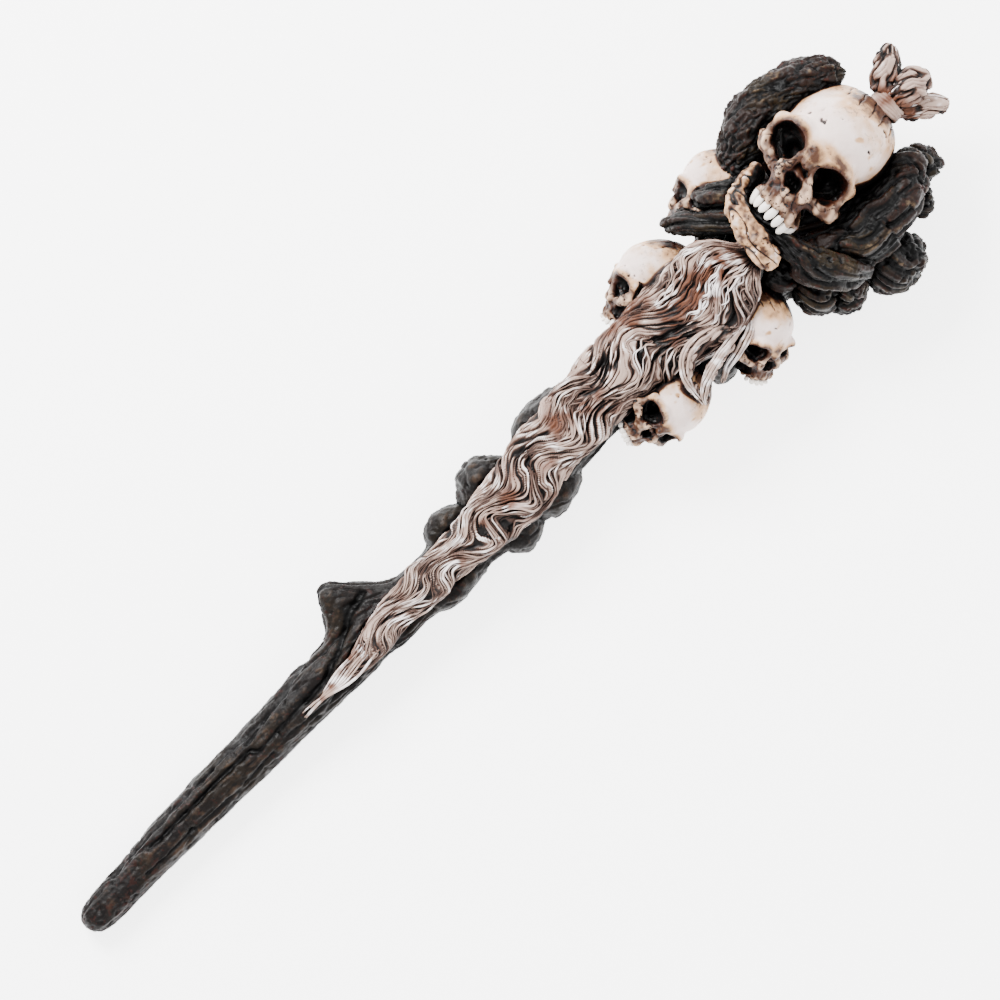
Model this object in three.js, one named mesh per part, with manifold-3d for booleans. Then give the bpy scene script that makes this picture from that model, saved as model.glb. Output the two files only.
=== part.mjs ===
// A skull-headed magic wand, in millimetres.
// It lies on its back: +X runs from the butt of the stick to the topknot, +Z is the side that the
// face looks to, and Z = 0 is the table it rests on.
// A gnarled stick carries everything. A steel rod stiffens it and pegs the main skull on. Roots grip
// the skull, four small skulls sit in sockets along the stick, and a beard hangs from the open jaw.
import * as THREE from 'three';
import { mergeVertices } from 'three/addons/utils/BufferGeometryUtils.js';
import Module from 'manifold-3d';

const wasm = await Module();
wasm.setup();

// ---------------------------------------------------------------- driving dimensions
const BUTT_X = -171; // the end of the stick
const SKULL_HEIGHT = 46; // crown to the upper teeth
const SMALL_SKULL_HEIGHT = 28;
const ROD_RADIUS = 1.5;
const FIT_GAP = 0.3; // air between a piece and the seat cut for it
const FLOOR_HALF = 200; // half the side of the block that trims the underside flat

// ---------------------------------------------------------------- finishes
const finish = (color, roughness, metalness = 0) => ({ color, roughness, metalness });
const BONE = finish(0xe2d0b4, 0.6);
const IVORY = finish(0xf1e8d6, 0.5);
const HAIR = finish(0xd9c2a6, 0.65);
const BARK = finish(0x3a2e27, 0.75);
const ROOT = finish(0x45392c, 0.75);
const STEEL = finish(0x8f9296, 0.35, 0.9);

// ---------------------------------------------------------------- solids
const point = (x, y, z) => new THREE.Vector3(x, y, z);

// A closed geometry with its shared vertices merged and its collapsed triangles dropped.
function welded(geometry) {
  const plain = geometry.clone();
  plain.deleteAttribute('normal');
  plain.deleteAttribute('uv');
  const merged = mergeVertices(plain, 1e-4);
  const corners = merged.index.array;
  const kept = [];
  for (let i = 0; i < corners.length; i += 3) {
    const [a, b, c] = corners.slice(i, i + 3);
    if (a !== b && b !== c && a !== c) kept.push(a, b, c);
  }
  merged.setIndex(kept);
  return merged;
}

function toSolid(geometry) {
  const merged = welded(geometry);
  return new wasm.Manifold(new wasm.Mesh({
    numProp: 3,
    vertProperties: new Float32Array(merged.attributes.position.array),
    triVerts: new Uint32Array(merged.index.array),
  }));
}

function toGeometry(solid) {
  const made = solid.getMesh();
  const geometry = new THREE.BufferGeometry();
  geometry.setAttribute('position', new THREE.BufferAttribute(made.vertProperties, 3));
  geometry.setIndex(new THREE.BufferAttribute(made.triVerts, 1));
  geometry.computeVertexNormals();
  return geometry;
}

// The same shape with its skin pushed out by a distance.
function swollen(geometry, by) {
  const merged = welded(geometry);
  merged.computeVertexNormals();
  const { position, normal } = merged.attributes;
  for (let i = 0; i < position.count; i++) {
    position.setXYZ(
      i,
      position.getX(i) + by * normal.getX(i),
      position.getY(i) + by * normal.getY(i),
      position.getZ(i) + by * normal.getZ(i),
    );
  }
  return merged;
}

const joined = (solids) => solids.reduce((all, one) => all.add(one));
const largest = (solid) => solid.decompose().reduce((a, b) => (a.volume() > b.volume() ? a : b));

// ---------------------------------------------------------------- shapes
// An ellipsoid; detail is the number of segments round it.
function ellipsoid(centre, radii, detail = 12, turn = [0, 0, 0]) {
  const geometry = new THREE.SphereGeometry(1, detail, Math.round(detail * 0.7));
  geometry.scale(...radii);
  geometry.applyMatrix4(new THREE.Matrix4().makeRotationFromEuler(new THREE.Euler(...turn)));
  geometry.translate(...centre);
  return geometry;
}

// A lump of root wood: an ellipsoid whose skin rolls in and out.
function lump(centre, radii, phase, turn = [0, 0, 0]) {
  const geometry = ellipsoid([0, 0, 0], [1, 1, 1], 8);
  const { position } = geometry.attributes;
  for (let i = 0; i < position.count; i++) {
    const v = new THREE.Vector3().fromBufferAttribute(position, i);
    const folds = 0.09 * Math.sin(3 * v.x + phase) * Math.cos(3 * v.y - phase);
    const swell = 0.06 * Math.sin(4 * v.z + phase);
    v.multiplyScalar(1 + folds + swell);
    position.setXYZ(i, v.x, v.y, v.z);
  }
  geometry.scale(...radii);
  geometry.applyMatrix4(new THREE.Matrix4().makeRotationFromEuler(new THREE.Euler(...turn)));
  geometry.translate(...centre);
  return geometry;
}

// A round-ended limb along a smooth curve. Each station is [x, y, z, half width, half thickness].
function limb(stations, sides = 12, rings = 24, capRings = 2) {
  const curve = new THREE.CatmullRomCurve3(stations.map(([x, y, z]) => point(x, y, z)), false, 'centripetal');
  const sizes = new THREE.CatmullRomCurve3(
    stations.map(([, , , wide, thick]) => point(wide, thick ?? wide, 0)), false, 'centripetal');
  const last = stations.length - 1;
  const endRadius = (stations[0][3] + stations[last][3]) / 2;
  const shank = Math.max(curve.getLength() / Math.max(endRadius, 0.5) - 2, 1);
  const geometry = new THREE.CapsuleGeometry(1, shank, capRings, sides, rings);
  const { position } = geometry.attributes;
  const up = point(0, 0, 1);
  for (let i = 0; i < position.count; i++) {
    const share = THREE.MathUtils.clamp(position.getY(i) / (shank + 2) + 0.5, 0, 1);
    const along = curve.getUtoTmapping(share);
    const centre = curve.getPoint(along);
    const tangent = curve.getTangent(along);
    const size = sizes.getPoint(along);
    const side = new THREE.Vector3().crossVectors(up, tangent).normalize();
    const lift = new THREE.Vector3().crossVectors(tangent, side).normalize();
    centre.addScaledVector(side, -position.getX(i) * size.x);
    centre.addScaledVector(lift, position.getZ(i) * size.y);
    position.setXYZ(i, centre.x, centre.y, centre.z);
  }
  return geometry;
}

// ---------------------------------------------------------------- placing and fitting
const wand = new THREE.Group();
const seated = []; // the pieces placed so far, each with the solid that later pieces are cut by
const belowTable = toSolid(new THREE.BoxGeometry(2 * FLOOR_HALF, 2 * FLOOR_HALF, 2 * FLOOR_HALF)
  .translate(0, 0, -FLOOR_HALF));

const touching = (a, b) => [0, 1, 2].every((k) => a.min[k] <= b.max[k] && b.min[k] <= a.max[k]);

// Adds one piece: its shapes joined, its hollows cut, its seats cut by the pieces placed before it,
// and its underside trimmed to the table. The group gives its place and turn.
function place(name, material, shapes, hollows = [], group = wand) {
  wand.updateMatrixWorld(true);
  const inWand = (geometry) => geometry.clone().applyMatrix4(group.matrixWorld);
  const outer = joined(shapes.map((shape) => toSolid(inWand(shape))));
  const seat = joined(shapes.map((shape) => toSolid(swollen(inWand(shape), FIT_GAP))));
  let body = outer.subtract(belowTable);
  for (const hollow of hollows) body = body.subtract(toSolid(inWand(hollow)));
  for (const other of seated) {
    if (touching(outer.boundingBox(), other.boundingBox())) body = body.subtract(other);
  }
  seated.push(seat);
  const geometry = toGeometry(largest(body)).applyMatrix4(group.matrixWorld.clone().invert());
  const mesh = new THREE.Mesh(geometry, new THREE.MeshStandardMaterial(material));
  mesh.name = name;
  group.add(mesh);
}

// ---------------------------------------------------------------- steel core
// It follows the stick, then rises into the base of the main skull.
const ROD_ROUTE = [
  [-150, 1.1, 6], [-110, 2, 7], [-70, 2.2, 9], [-30, 0, 11.2], [10, 0.5, 13.4],
  [50, 4, 14.5], [88, 5, 15], [108, 6, 18], [120, 7, 24], [129, 7, 31],
].map((at) => [...at, ROD_RADIUS]);
place('core_rod', STEEL, [limb(ROD_ROUTE, 7, 14)]);

// ---------------------------------------------------------------- skulls
// A skull stands in its own frame with its crown up +X and its face towards +Z, and is sized by its
// height, crown to upper teeth. Every measure below is a share of that height.
const SKULL_MASSES = [
  { centre: [0.1, 0, -0.05], radii: [0.385, 0.35, 0.42] }, // braincase
  { centre: [0.05, 0, 0.1], radii: [0.27, 0.3, 0.27] }, // forehead
  { centre: [-0.25, 0, 0.15], radii: [0.2, 0.17, 0.22] }, // upper jaw
];
const BROW = [
  [-0.05, 0.3, 0.16, 0.06], [0.015, 0.17, 0.32, 0.06], [-0.02, 0, 0.36, 0.06],
  [0.015, -0.17, 0.32, 0.06], [-0.05, -0.3, 0.16, 0.06],
];
const CHEEK = [
  [-0.05, 0.29, 0.14, 0.06], [-0.17, 0.3, 0.18, 0.075], [-0.245, 0.22, 0.25, 0.08],
  [-0.31, 0.1, 0.26, 0.06],
];
const CHEEK_ARCH = [[-0.18, 0.3, 0.2, 0.05], [-0.16, 0.31, 0.04, 0.045], [-0.1, 0.28, -0.12, 0.05]];
const SOCKET = { centre: [-0.1, 0.175, 0.34], radii: [0.118, 0.115, 0.18] };
const NOSE = { centre: [-0.245, 0, 0.38], radii: [0.085, 0.055, 0.13] };
const GUM = [
  [-0.4, 0.15, 0.1, 0.05], [-0.405, 0.13, 0.23, 0.05], [-0.41, 0, 0.31, 0.05],
  [-0.405, -0.13, 0.23, 0.05], [-0.4, -0.15, 0.1, 0.05],
];
const TOOTH = { reach: 0.15, set: 0.1, depth: 0.235, drop: -0.455, radii: [0.055, 0.026, 0.032] };
const TOOTH_SPREAD = 1.25; // radians each side of the middle

const scaled = (values, height) => values.map((value) => value * height);
const mirrored = ([x, y, ...rest]) => [x, -y, ...rest];

// The main skull is modelled crooked: it bends to its right above and below the line of its eyes.
const EYE_LINE = -0.085;
const CROWN_LEAN = 0.06;
const FACE_LEAN = 0.25;
function leaning([x, y, ...rest]) {
  const above = x - EYE_LINE;
  return [x, y - (above > 0 ? CROWN_LEAN * above : -FACE_LEAN * above), ...rest];
}
const straight = (place) => place;

function placeSkull({ name, height, at, turn, detail, teeth, arches = [], bend = straight }) {
  const group = new THREE.Group();
  group.position.set(...at);
  group.rotation.set(...turn.map(THREE.MathUtils.degToRad), 'ZYX');
  wand.add(group);
  const mass = ({ centre, radii }) => (
    ellipsoid(scaled(bend(centre), height), scaled(radii, height), detail));
  const sides = Math.round(detail / 2);
  const bar = (stations, rings) => (
    limb(stations.map((station) => scaled(bend(station), height)), sides, rings));
  place(
    `${name}_cranium`, BONE,
    [
      ...SKULL_MASSES.map(mass),
      bar(BROW, 5),
      ...[CHEEK, ...arches].flatMap((line) => [bar(line, 2), bar(line.map(mirrored), 2)]),
    ],
    [mass(SOCKET), mass({ ...SOCKET, centre: mirrored(SOCKET.centre) }), mass(NOSE)],
    group,
  );
  const row = [];
  for (let i = 0; i < teeth; i++) {
    const angle = TOOTH_SPREAD * ((2 * i + 1) / teeth - 1);
    const centre = [TOOTH.drop, TOOTH.reach * Math.sin(angle), TOOTH.set + TOOTH.depth * Math.cos(angle)];
    row.push(ellipsoid(scaled(bend(centre), height), scaled(TOOTH.radii, height), 5));
  }
  place(`${name}_upper_teeth`, IVORY, [bar(GUM, 4), ...row], [], group);
  return group;
}

placeSkull({
  name: 'main_skull', height: SKULL_HEIGHT, at: [132.5, 8.8, 33], turn: [0, -3, -3.5], detail: 13, teeth: 7,
  arches: [CHEEK_ARCH], bend: leaning,
});

// The jaw hangs wide open. A thin branch comes down from the left cheek to the thick chin, whose
// other end dives under the chin root.
const JAW = [
  [119, 18.4, 34, 2], [112.6, 18, 38, 2.4], [107.2, 16.6, 41, 2.7], [104, 12.6, 43, 3.7],
  [102.8, 5.5, 44, 4.2], [101.4, -1.2, 43, 4.1], [101, -4.4, 40.6, 3.2],
];
place('main_skull_jaw', BONE, [limb(JAW, 8, 14)]);

const SMALL_SKULLS = [
  { name: 'upper_left_skull', size: 1.04, at: [104, 21, 21], turn: [-98, -6, 24] },
  { name: 'lower_left_skull', size: 1.04, at: [73, 15.5, 19], turn: [-84, -8, 24] },
  { name: 'upper_right_skull', size: 0.96, at: [85.2, -13.4, 22.5], turn: [45, -28, 24] },
  { name: 'lower_right_skull', size: 0.99, at: [52.4, -10.2, 20.5], turn: [42, -15, -26] },
];
for (const { name, size, at, turn } of SMALL_SKULLS) {
  placeSkull({ name, height: SMALL_SKULL_HEIGHT * size, at, turn, detail: 8, teeth: 4 });
}

// ---------------------------------------------------------------- topknot
place('topknot_tie', BONE, [ellipsoid([155.6, 4.8, 31], [2.6, 5, 4.8], 12)]);
const TUFTS = [
  {
    name: 'topknot_left_tuft',
    stations: [
      [157, 6.5, 31, 3.4, 3.4], [160.5, 9.8, 32, 4.4, 3.6], [164.8, 13.8, 33, 3.8, 3],
      [168.4, 17.2, 34, 1.8, 1.4],
    ],
  },
  {
    name: 'topknot_middle_tuft',
    stations: [
      [157.5, 4, 32, 3.2, 2.8], [162, 4.2, 34.2, 4.8, 3.4], [167, 3.6, 34.6, 4.6, 3],
      [170.4, 3, 32.5, 2.6, 1.8],
    ],
  },
  {
    name: 'topknot_right_tuft',
    stations: [
      [157.5, 2.5, 30, 3, 3], [161.5, -1, 29.5, 4, 3.2], [165.8, -4.8, 29, 3.4, 2.8],
      [168.6, -7.4, 28.5, 1.7, 1.4],
    ],
  },
];
for (const { name, stations } of TUFTS) place(name, HAIR, [limb(stations, 8, 5)]);

// ---------------------------------------------------------------- beard
const BEARD = [
  [98, 6, 38, 8.6, 4], [90, 4.4, 35, 12.4, 6.5], [78, 3.4, 31.5, 14.4, 7.5], [64, 4, 28, 12.6, 7.5],
  [50, 6, 26, 10.6, 6.5], [35, 4.4, 24.4, 9.8, 5], [20, 4.6, 22.6, 9.4, 4.6], [5, 1.4, 21.2, 9.2, 4.6],
  [-10, 1.6, 19.8, 7.2, 4], [-25, 1.2, 18, 5.8, 3.6], [-40, 2, 17, 5.4, 3], [-55, 0, 15.8, 4.2, 2.6],
  [-66, -1, 15, 2.6, 2], [-75, -0.2, 14.4, 1, 1],
];
place('beard', HAIR, [limb(BEARD, 10, 18)]);
const SIDE_LOCKS = [
  [
    [80, -8.5, 36, 2], [71, -5.6, 36.5, 2], [64, -7, 36, 1.8], [60.8, -12, 33.5, 1.5],
    [60.4, -18.6, 29, 0.9],
  ],
  [
    [78, -11, 34, 1.8], [70, -12.5, 34, 1.6], [65, -14.4, 33, 1.4], [62, -16.8, 31, 1.2],
    [60.6, -18.8, 29, 0.9],
  ],
];
place('beard_side_lock', HAIR, SIDE_LOCKS.map((stations) => limb(stations, 6, 8)));

// ---------------------------------------------------------------- burrs along the stick
const BURRS = [
  { name: 'first_left_burr', at: [-16, 6.6, 12], radii: [9, 7.4, 7.4] },
  { name: 'second_left_burr', at: [0, 9.2, 12.5], radii: [9.8, 8.6, 8.4] },
  { name: 'third_left_burr', at: [25.5, 10.4, 14], radii: [14, 7.4, 7.6] },
  { name: 'first_right_burr', at: [-25, -3.6, 11.5], radii: [14, 6.2, 6.4] },
  { name: 'second_right_burr', at: [-1.8, -6.6, 12.5], radii: [7, 6.8, 7] },
  { name: 'third_right_burr', at: [12.5, -5.8, 13], radii: [9.6, 6.2, 7.4] },
  { name: 'side_knot', at: [71.5, -13.8, 18], radii: [6, 5.6, 8] },
];
// The side knot is the swelling on a short limb between the two skulls on the right.
const SIDE_LIMB = limb([
  [62, -9, 20, 4.2], [70, -12, 22, 4.6], [78, -13.5, 22, 4.6], [87, -12, 20, 4.2],
], 7, 4);
BURRS.forEach(({ name, at, radii }, i) => {
  const swelling = lump(at, radii, 1.7 * i);
  place(name, ROOT, name === 'side_knot' ? [swelling, SIDE_LIMB] : [swelling]);
});

// ---------------------------------------------------------------- stick
const STICK = [
  [BUTT_X + 0.6, 0.6, 5, 5.4], [-152, 1.1, 5.2, 5.7], [-135, 1.9, 5.9, 6.6], [-118, 2, 6.4, 7],
  [-95, 1.9, 7.4, 7.3],
  [-75, 2.4, 9, 8.2], [-55, 2, 10, 8], [-35, 0.8, 11, 8], [-15, 0.4, 12.2, 8.6], [5, 1, 13, 9.6],
  [25, 3.4, 13.5, 10.6],
  [45, 4, 13.4, 10.8], [65, 4, 13, 11], [85, 4, 12, 11], [105, 4, 10, 9.6], [125, 5, 8, 8.6],
  [144, 5, 8.4, 7],
];
// The stub of a cut side branch, on the left above the grip. Its foot spreads along the stick.
const BRANCH_STUB = [
  [-52.5, -1, 10.4, 27, 5.6], [-52.5, 6, 10.4, 20, 5.6], [-52.8, 12, 10.4, 10.6, 5.2],
  [-53.6, 17.4, 10.4, 6.4, 5],
  [-54, 23.2, 10.4, 5.4, 4.8],
];
place('stick', BARK, [limb(STICK, 11, 22, 3), limb(BRANCH_STUB, 8, 4, 3)]);

// ---------------------------------------------------------------- roots that grip the head
const ROOTS = [
  {
    name: 'throat_root',
    stations: [[84, 4, 22, 8, 6], [94, 5, 24, 9, 8], [104, 6, 24, 9.4, 8.6], [116, 7, 20, 9, 7]],
  },
  {
    name: 'cheek_root',
    stations: [
      [87.5, 25, 25, 2.4], [91, 22.5, 30.5, 3], [95.5, 18, 34, 3.2], [101, 13, 36.5, 3], [104, 9, 36, 2.6],
    ],
  },
  {
    name: 'temple_root',
    stations: [
      [98.5, 24.5, 29, 2.6], [103.5, 21.5, 33.5, 3.4], [108, 18.5, 35.5, 3.6], [113.6, 17.4, 34.5, 3],
      [118, 18, 32, 2.4],
    ],
  },
  {
    name: 'chin_root',
    stations: [
      [105, 13, 34, 2.8], [106.2, 6, 38.6, 3.2], [107.4, -2, 40.6, 3.4], [109.2, -10, 40.4, 3.8],
      [113, -17.5, 36.5, 4.4], [121, -24, 29, 4.6],
    ],
    branches: [[[103.6, -8, 37.4, 2.6], [107, -14.6, 37.6, 3], [112, -20.4, 33.4, 3.2], [118, -24, 29, 3]]],
  },
  {
    name: 'back_left_root',
    stations: [
      [86, 6, 8.5, 6], [104, 15, 5.4, 6.4], [122, 21, 5.2, 6.4], [139, 20, 8.4, 5.4],
      [150, 14, 13.5, 3.8],
    ],
  },
  {
    name: 'back_right_root',
    stations: [
      [86, -1, 8.5, 6], [104, -10, 5.4, 6.4], [122, -16, 5.2, 6.4], [139, -14, 8.4, 5.6],
      [150, -7.5, 13.5, 4],
    ],
  },
  {
    name: 'left_root',
    stations: [
      [97, 12, 14, 5.6], [107, 18.5, 23, 6.4], [116.5, 24.2, 28, 6.8], [127, 29, 29, 8], [138, 28, 30, 7.4],
      [147.5, 24.8, 30, 6], [155, 20.2, 30, 3.2],
    ],
  },
  {
    name: 'right_root',
    stations: [
      [152, -8, 27, 4.2], [147, -12.2, 29.5, 6.4], [137, -16, 30.5, 8.4], [125, -16.2, 31, 8.8],
      [114, -12.4, 31, 7.4],
      [105, -6.6, 31, 5],
    ],
    branches: [[
      [104, -3, 25, 4], [113, -5, 26, 5.2], [122, -7.5, 26, 5.2], [132, -9.5, 26, 5.2], [142, -9, 26, 3.6],
    ]],
  },
];
for (const { name, stations, branches = [] } of ROOTS) {
  place(name, ROOT, [limb(stations, 8, 9), ...branches.map((branch) => limb(branch, 7, 5))]);
}

// ---------------------------------------------------------------- knots of root wood round the head
const KNOTS = [
  { name: 'chin_knot', at: [101, -8, 29], radii: [5.4, 5.2, 7] },
  { name: 'lower_right_knot', at: [105, -18, 26], radii: [6.4, 7, 9] },
  { name: 'middle_right_knot', at: [111.5, -23.4, 20], radii: [8, 7, 10] },
  { name: 'outer_right_knot', at: [126.8, -28.2, 18], radii: [10.4, 8.4, 12] },
  { name: 'upper_right_knot', at: [144, -21.2, 24], radii: [4.6, 4.2, 6] },
  { name: 'crown_right_knot', at: [152.4, -14, 22], radii: [5.2, 5.8, 7] },
];
KNOTS.forEach(({ name, at, radii }, i) => place(name, ROOT, [lump(at, radii, 1 + 1.3 * i)]));

// The wand stands in its frame with the middle of its underside at the origin.
const extent = new THREE.Box3().setFromObject(wand, true);
const middle = extent.getCenter(new THREE.Vector3());
wand.position.set(-middle.x, -middle.y, -extent.min.z);

export default wand;
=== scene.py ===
"""A skull-headed magic wand of painted cast resin, lying on its back on a pale table."""

import math

import bpy
import numpy as np
import openvdb as vdb
from mathutils import Euler, Matrix, Vector


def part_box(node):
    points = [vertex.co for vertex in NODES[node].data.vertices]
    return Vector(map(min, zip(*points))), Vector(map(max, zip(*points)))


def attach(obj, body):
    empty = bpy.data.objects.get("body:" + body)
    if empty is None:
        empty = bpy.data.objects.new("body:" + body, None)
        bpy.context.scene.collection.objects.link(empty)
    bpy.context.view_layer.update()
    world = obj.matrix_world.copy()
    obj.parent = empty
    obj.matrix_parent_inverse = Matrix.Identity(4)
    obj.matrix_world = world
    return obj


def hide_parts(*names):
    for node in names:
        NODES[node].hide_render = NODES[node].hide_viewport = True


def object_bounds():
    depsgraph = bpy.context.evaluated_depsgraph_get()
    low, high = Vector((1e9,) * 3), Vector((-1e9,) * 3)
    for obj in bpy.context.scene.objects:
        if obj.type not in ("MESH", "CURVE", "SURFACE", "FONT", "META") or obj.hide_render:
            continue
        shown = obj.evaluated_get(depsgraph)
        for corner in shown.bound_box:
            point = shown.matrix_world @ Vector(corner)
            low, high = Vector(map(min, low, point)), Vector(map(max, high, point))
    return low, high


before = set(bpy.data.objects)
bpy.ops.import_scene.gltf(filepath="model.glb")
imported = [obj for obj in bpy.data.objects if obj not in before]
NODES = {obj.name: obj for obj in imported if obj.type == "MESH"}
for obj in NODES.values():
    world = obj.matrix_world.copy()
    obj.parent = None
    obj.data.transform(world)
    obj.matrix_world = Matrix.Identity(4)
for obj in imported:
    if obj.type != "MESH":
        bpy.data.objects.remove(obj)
CAD_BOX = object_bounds()
MM = 0.001
RANDOM_SEED = 1907


# ------------------------------------------------------------------ camera and light
def add_camera():
    """Looks straight down, with the wand running from the lower left to the upper right."""
    lens = 300.0
    sensor = 36.0
    picture_width = 283.3 * MM
    centre = Vector((-0.24 * MM, 3.0 * MM, 24 * MM))
    data = bpy.data.cameras.new("camera")
    data.lens = lens
    data.sensor_width = sensor
    data.clip_end = 50
    camera = bpy.data.objects.new("camera", data)
    distance = picture_width * lens / sensor
    camera.location = centre + Vector((0, 0, distance))
    camera.rotation_euler = (0, 0, -math.pi / 4)
    bpy.context.scene.collection.objects.link(camera)
    bpy.context.scene.camera = camera


add_camera()


LIGHTS_AIM = (0.0, 0.0, 0.02)


def add_area_light(name, power, size, at):
    data = bpy.data.lights.new(name, "AREA")
    data.energy = power
    data.size = size
    light = bpy.data.objects.new(name, data)
    light.location = at
    light.rotation_euler = (Vector(LIGHTS_AIM) - Vector(at)).to_track_quat("-Z", "Y").to_euler()
    bpy.context.scene.collection.objects.link(light)


def add_studio():
    add_area_light("window_light", 33.0, 0.5, (0.1, 0.8, 0.8))
    add_area_light("side_light", 6.0, 0.5, (0.9, -0.25, 0.6))
    add_area_light("low_light", 2.5, 0.6, (-0.7, -0.5, 0.5))
    world = bpy.data.worlds.new("studio_world")
    world.use_nodes = True
    background = world.node_tree.nodes["Background"]
    background.inputs["Color"].default_value = (1, 1, 1, 1)
    background.inputs["Strength"].default_value = 1.45
    bpy.context.scene.world = world
    mesh = bpy.data.meshes.new("table_top")
    half = 3.0
    corners = [(-half, -half, 0), (half, -half, 0), (half, half, 0), (-half, half, 0)]
    mesh.from_pydata(corners, [], [(0, 1, 2, 3)])
    table = bpy.data.objects.new("table_top", mesh)
    bpy.context.scene.collection.objects.link(table)
    material = bpy.data.materials.new("pale_paper")
    material.use_nodes = True
    shader = material.node_tree.nodes["Principled BSDF"]
    shader.inputs["Base Color"].default_value = (0.97, 0.97, 0.97, 1)
    shader.inputs["Emission Color"].default_value = (1, 1, 1, 1)
    shader.inputs["Emission Strength"].default_value = 3.6
    shader.inputs["Roughness"].default_value = 0.9
    shader.inputs["Specular IOR Level"].default_value = 0.1
    mesh.materials.append(material)


# ------------------------------------------------------------------ noise over points
def noise_tables(seed):
    rng = np.random.default_rng(seed)
    order = rng.permutation(256)
    slopes = rng.normal(size=(256, 3))
    slopes /= np.linalg.norm(slopes, axis=1)[:, None]
    return np.concatenate([order, order, order]), slopes.astype(np.float32)


ORDER, SLOPES = noise_tables(RANDOM_SEED)


def cell_corners(share):
    """The eight corners of a grid cell, each with its weight for points some share across the cell."""
    for dx in (0, 1):
        for dy in (0, 1):
            for dz in (0, 1):
                weight = (
                    (share[:, 0] if dx else 1 - share[:, 0])
                    * (share[:, 1] if dy else 1 - share[:, 1])
                    * (share[:, 2] if dz else 1 - share[:, 2])
                )
                yield (dx, dy, dz), weight


def noise(points):
    """Smooth noise from about -1 to 1 at each point; its features are about one unit across."""
    cell = np.floor(points).astype(np.int64)
    part = (points - cell).astype(np.float32)
    ease = part * part * part * (part * (part * 6 - 15) + 10)
    cell &= 255
    total = np.zeros(len(points), np.float32)
    for (dx, dy, dz), weight in cell_corners(ease):
        h = ORDER[ORDER[ORDER[cell[:, 0] + dx] + cell[:, 1] + dy] + cell[:, 2] + dz] & 255
        total += weight * np.einsum("ij,ij->i", SLOPES[h], part - (dx, dy, dz))
    return total * 1.6


def own_number(name, span):
    """A number below the span that is a piece's own, so that no two pieces share their pattern."""
    return float(sum(map(ord, name)) % span)


def smooth_step(low, high, value):
    t = np.clip((value - low) / (high - low), 0, 1)
    return t * t * (3 - 2 * t)


# ------------------------------------------------------------------ distance fields, in millimetres
class Field:
    """Distances on a regular grid: negative inside the shape."""

    def __init__(self, values, origin, step):
        self.values = values
        self.origin = np.asarray(origin, float)
        self.step = step

    def at(self, points):
        place = (points - self.origin) / self.step
        limit = np.array(self.values.shape) - 2
        cell = np.clip(np.floor(place).astype(np.int64), 0, limit)
        part = np.clip(place - cell, 0, 1).astype(np.float32)
        total = np.zeros(len(points), np.float32)
        for (dx, dy, dz), weight in cell_corners(part):
            total += weight * self.values[cell[:, 0] + dx, cell[:, 1] + dy, cell[:, 2] + dz]
        return total

    def blurred(self, radius):
        """The same field with everything smaller than the radius smoothed away."""
        sigma = radius / self.step
        reach = max(1, int(math.ceil(2.2 * sigma)))
        kernel = np.exp(-0.5 * (np.arange(-reach, reach + 1) / sigma) ** 2)
        kernel /= kernel.sum()
        values = self.values
        for axis in range(3):
            padding = [(reach, reach) if a == axis else (0, 0) for a in range(3)]
            padded = np.pad(values, padding, mode="edge")
            total = np.zeros_like(values)
            for i, weight in enumerate(kernel):
                window = [slice(None)] * 3
                window[axis] = slice(i, i + values.shape[axis])
                total += np.float32(weight) * padded[tuple(window)]
            values = total
        return Field(values, self.origin, self.step)

    def surface(self, level=0.0):
        """(points, quads) of the closed skin where the distance is the level."""
        grid = vdb.FloatGrid(float(self.values.max()))
        grid.copyFromArray(np.ascontiguousarray(self.values, np.float32))
        points, quads = grid.convertToQuads(isovalue=level)
        points = points.astype(np.float64) * self.step + self.origin
        a, b, c = (points[quads[:, i]] for i in (0, 1, 2))
        if np.einsum("ij,ij->i", a, np.cross(b, c)).sum() < 0:
            quads = quads[:, ::-1]
        return points, quads


def node_triangles(names):
    """The corner points, in millimetres, and the triangles of some CAD nodes together."""
    points, triangles, count = [], [], 0
    for name in names:
        mesh = NODES[name].data
        mesh.calc_loop_triangles()
        co = np.zeros(len(mesh.vertices) * 3, np.float32)
        mesh.vertices.foreach_get("co", co)
        tri = np.zeros(len(mesh.loop_triangles) * 3, np.int32)
        mesh.loop_triangles.foreach_get("vertices", tri)
        points.append(co.reshape(-1, 3) / MM)
        triangles.append(tri.reshape(-1, 3) + count)
        count += len(mesh.vertices)
    return np.concatenate(points), np.concatenate(triangles)


def node_field(names, step, band):
    """The distance field of some CAD nodes, true up to a band either side of their skin."""
    points, triangles = node_triangles(names)
    transform = vdb.createLinearTransform(voxelSize=step)
    grid = vdb.FloatGrid.createLevelSetFromPolygons(
        points.astype(np.float32), triangles=triangles.astype(np.uint32),
        transform=transform, halfWidth=band / step,
    )
    low, high = grid.evalActiveVoxelBoundingBox()
    values = np.zeros([high[i] - low[i] + 5 for i in range(3)], np.float32)
    grid.copyToArray(values, ijk=[low[i] - 2 for i in range(3)])
    return Field(values, [(low[i] - 2) * step for i in range(3)], step)


def node_edges(name):
    """The two end points, in millimetres, of every triangle edge of a CAD node."""
    points, triangles = node_triangles([name])
    edges = np.concatenate([triangles[:, (0, 1)], triangles[:, (1, 2)], triangles[:, (2, 0)]])
    return points[edges[:, 0]], points[edges[:, 1]]


def cut_edges(edges, axis, level):
    """The points where edges pass through a level of one axis."""
    a, b = edges
    cross = (a[:, axis] - level) * (b[:, axis] - level) < 0
    t = ((level - a[cross, axis]) / (b[cross, axis] - a[cross, axis]))[:, None]
    return a[cross] + t * (b[cross] - a[cross])


def node_box(name):
    """The low and high corners of a CAD node's box, in millimetres."""
    return [np.array(corner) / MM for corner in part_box(name)]


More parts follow.
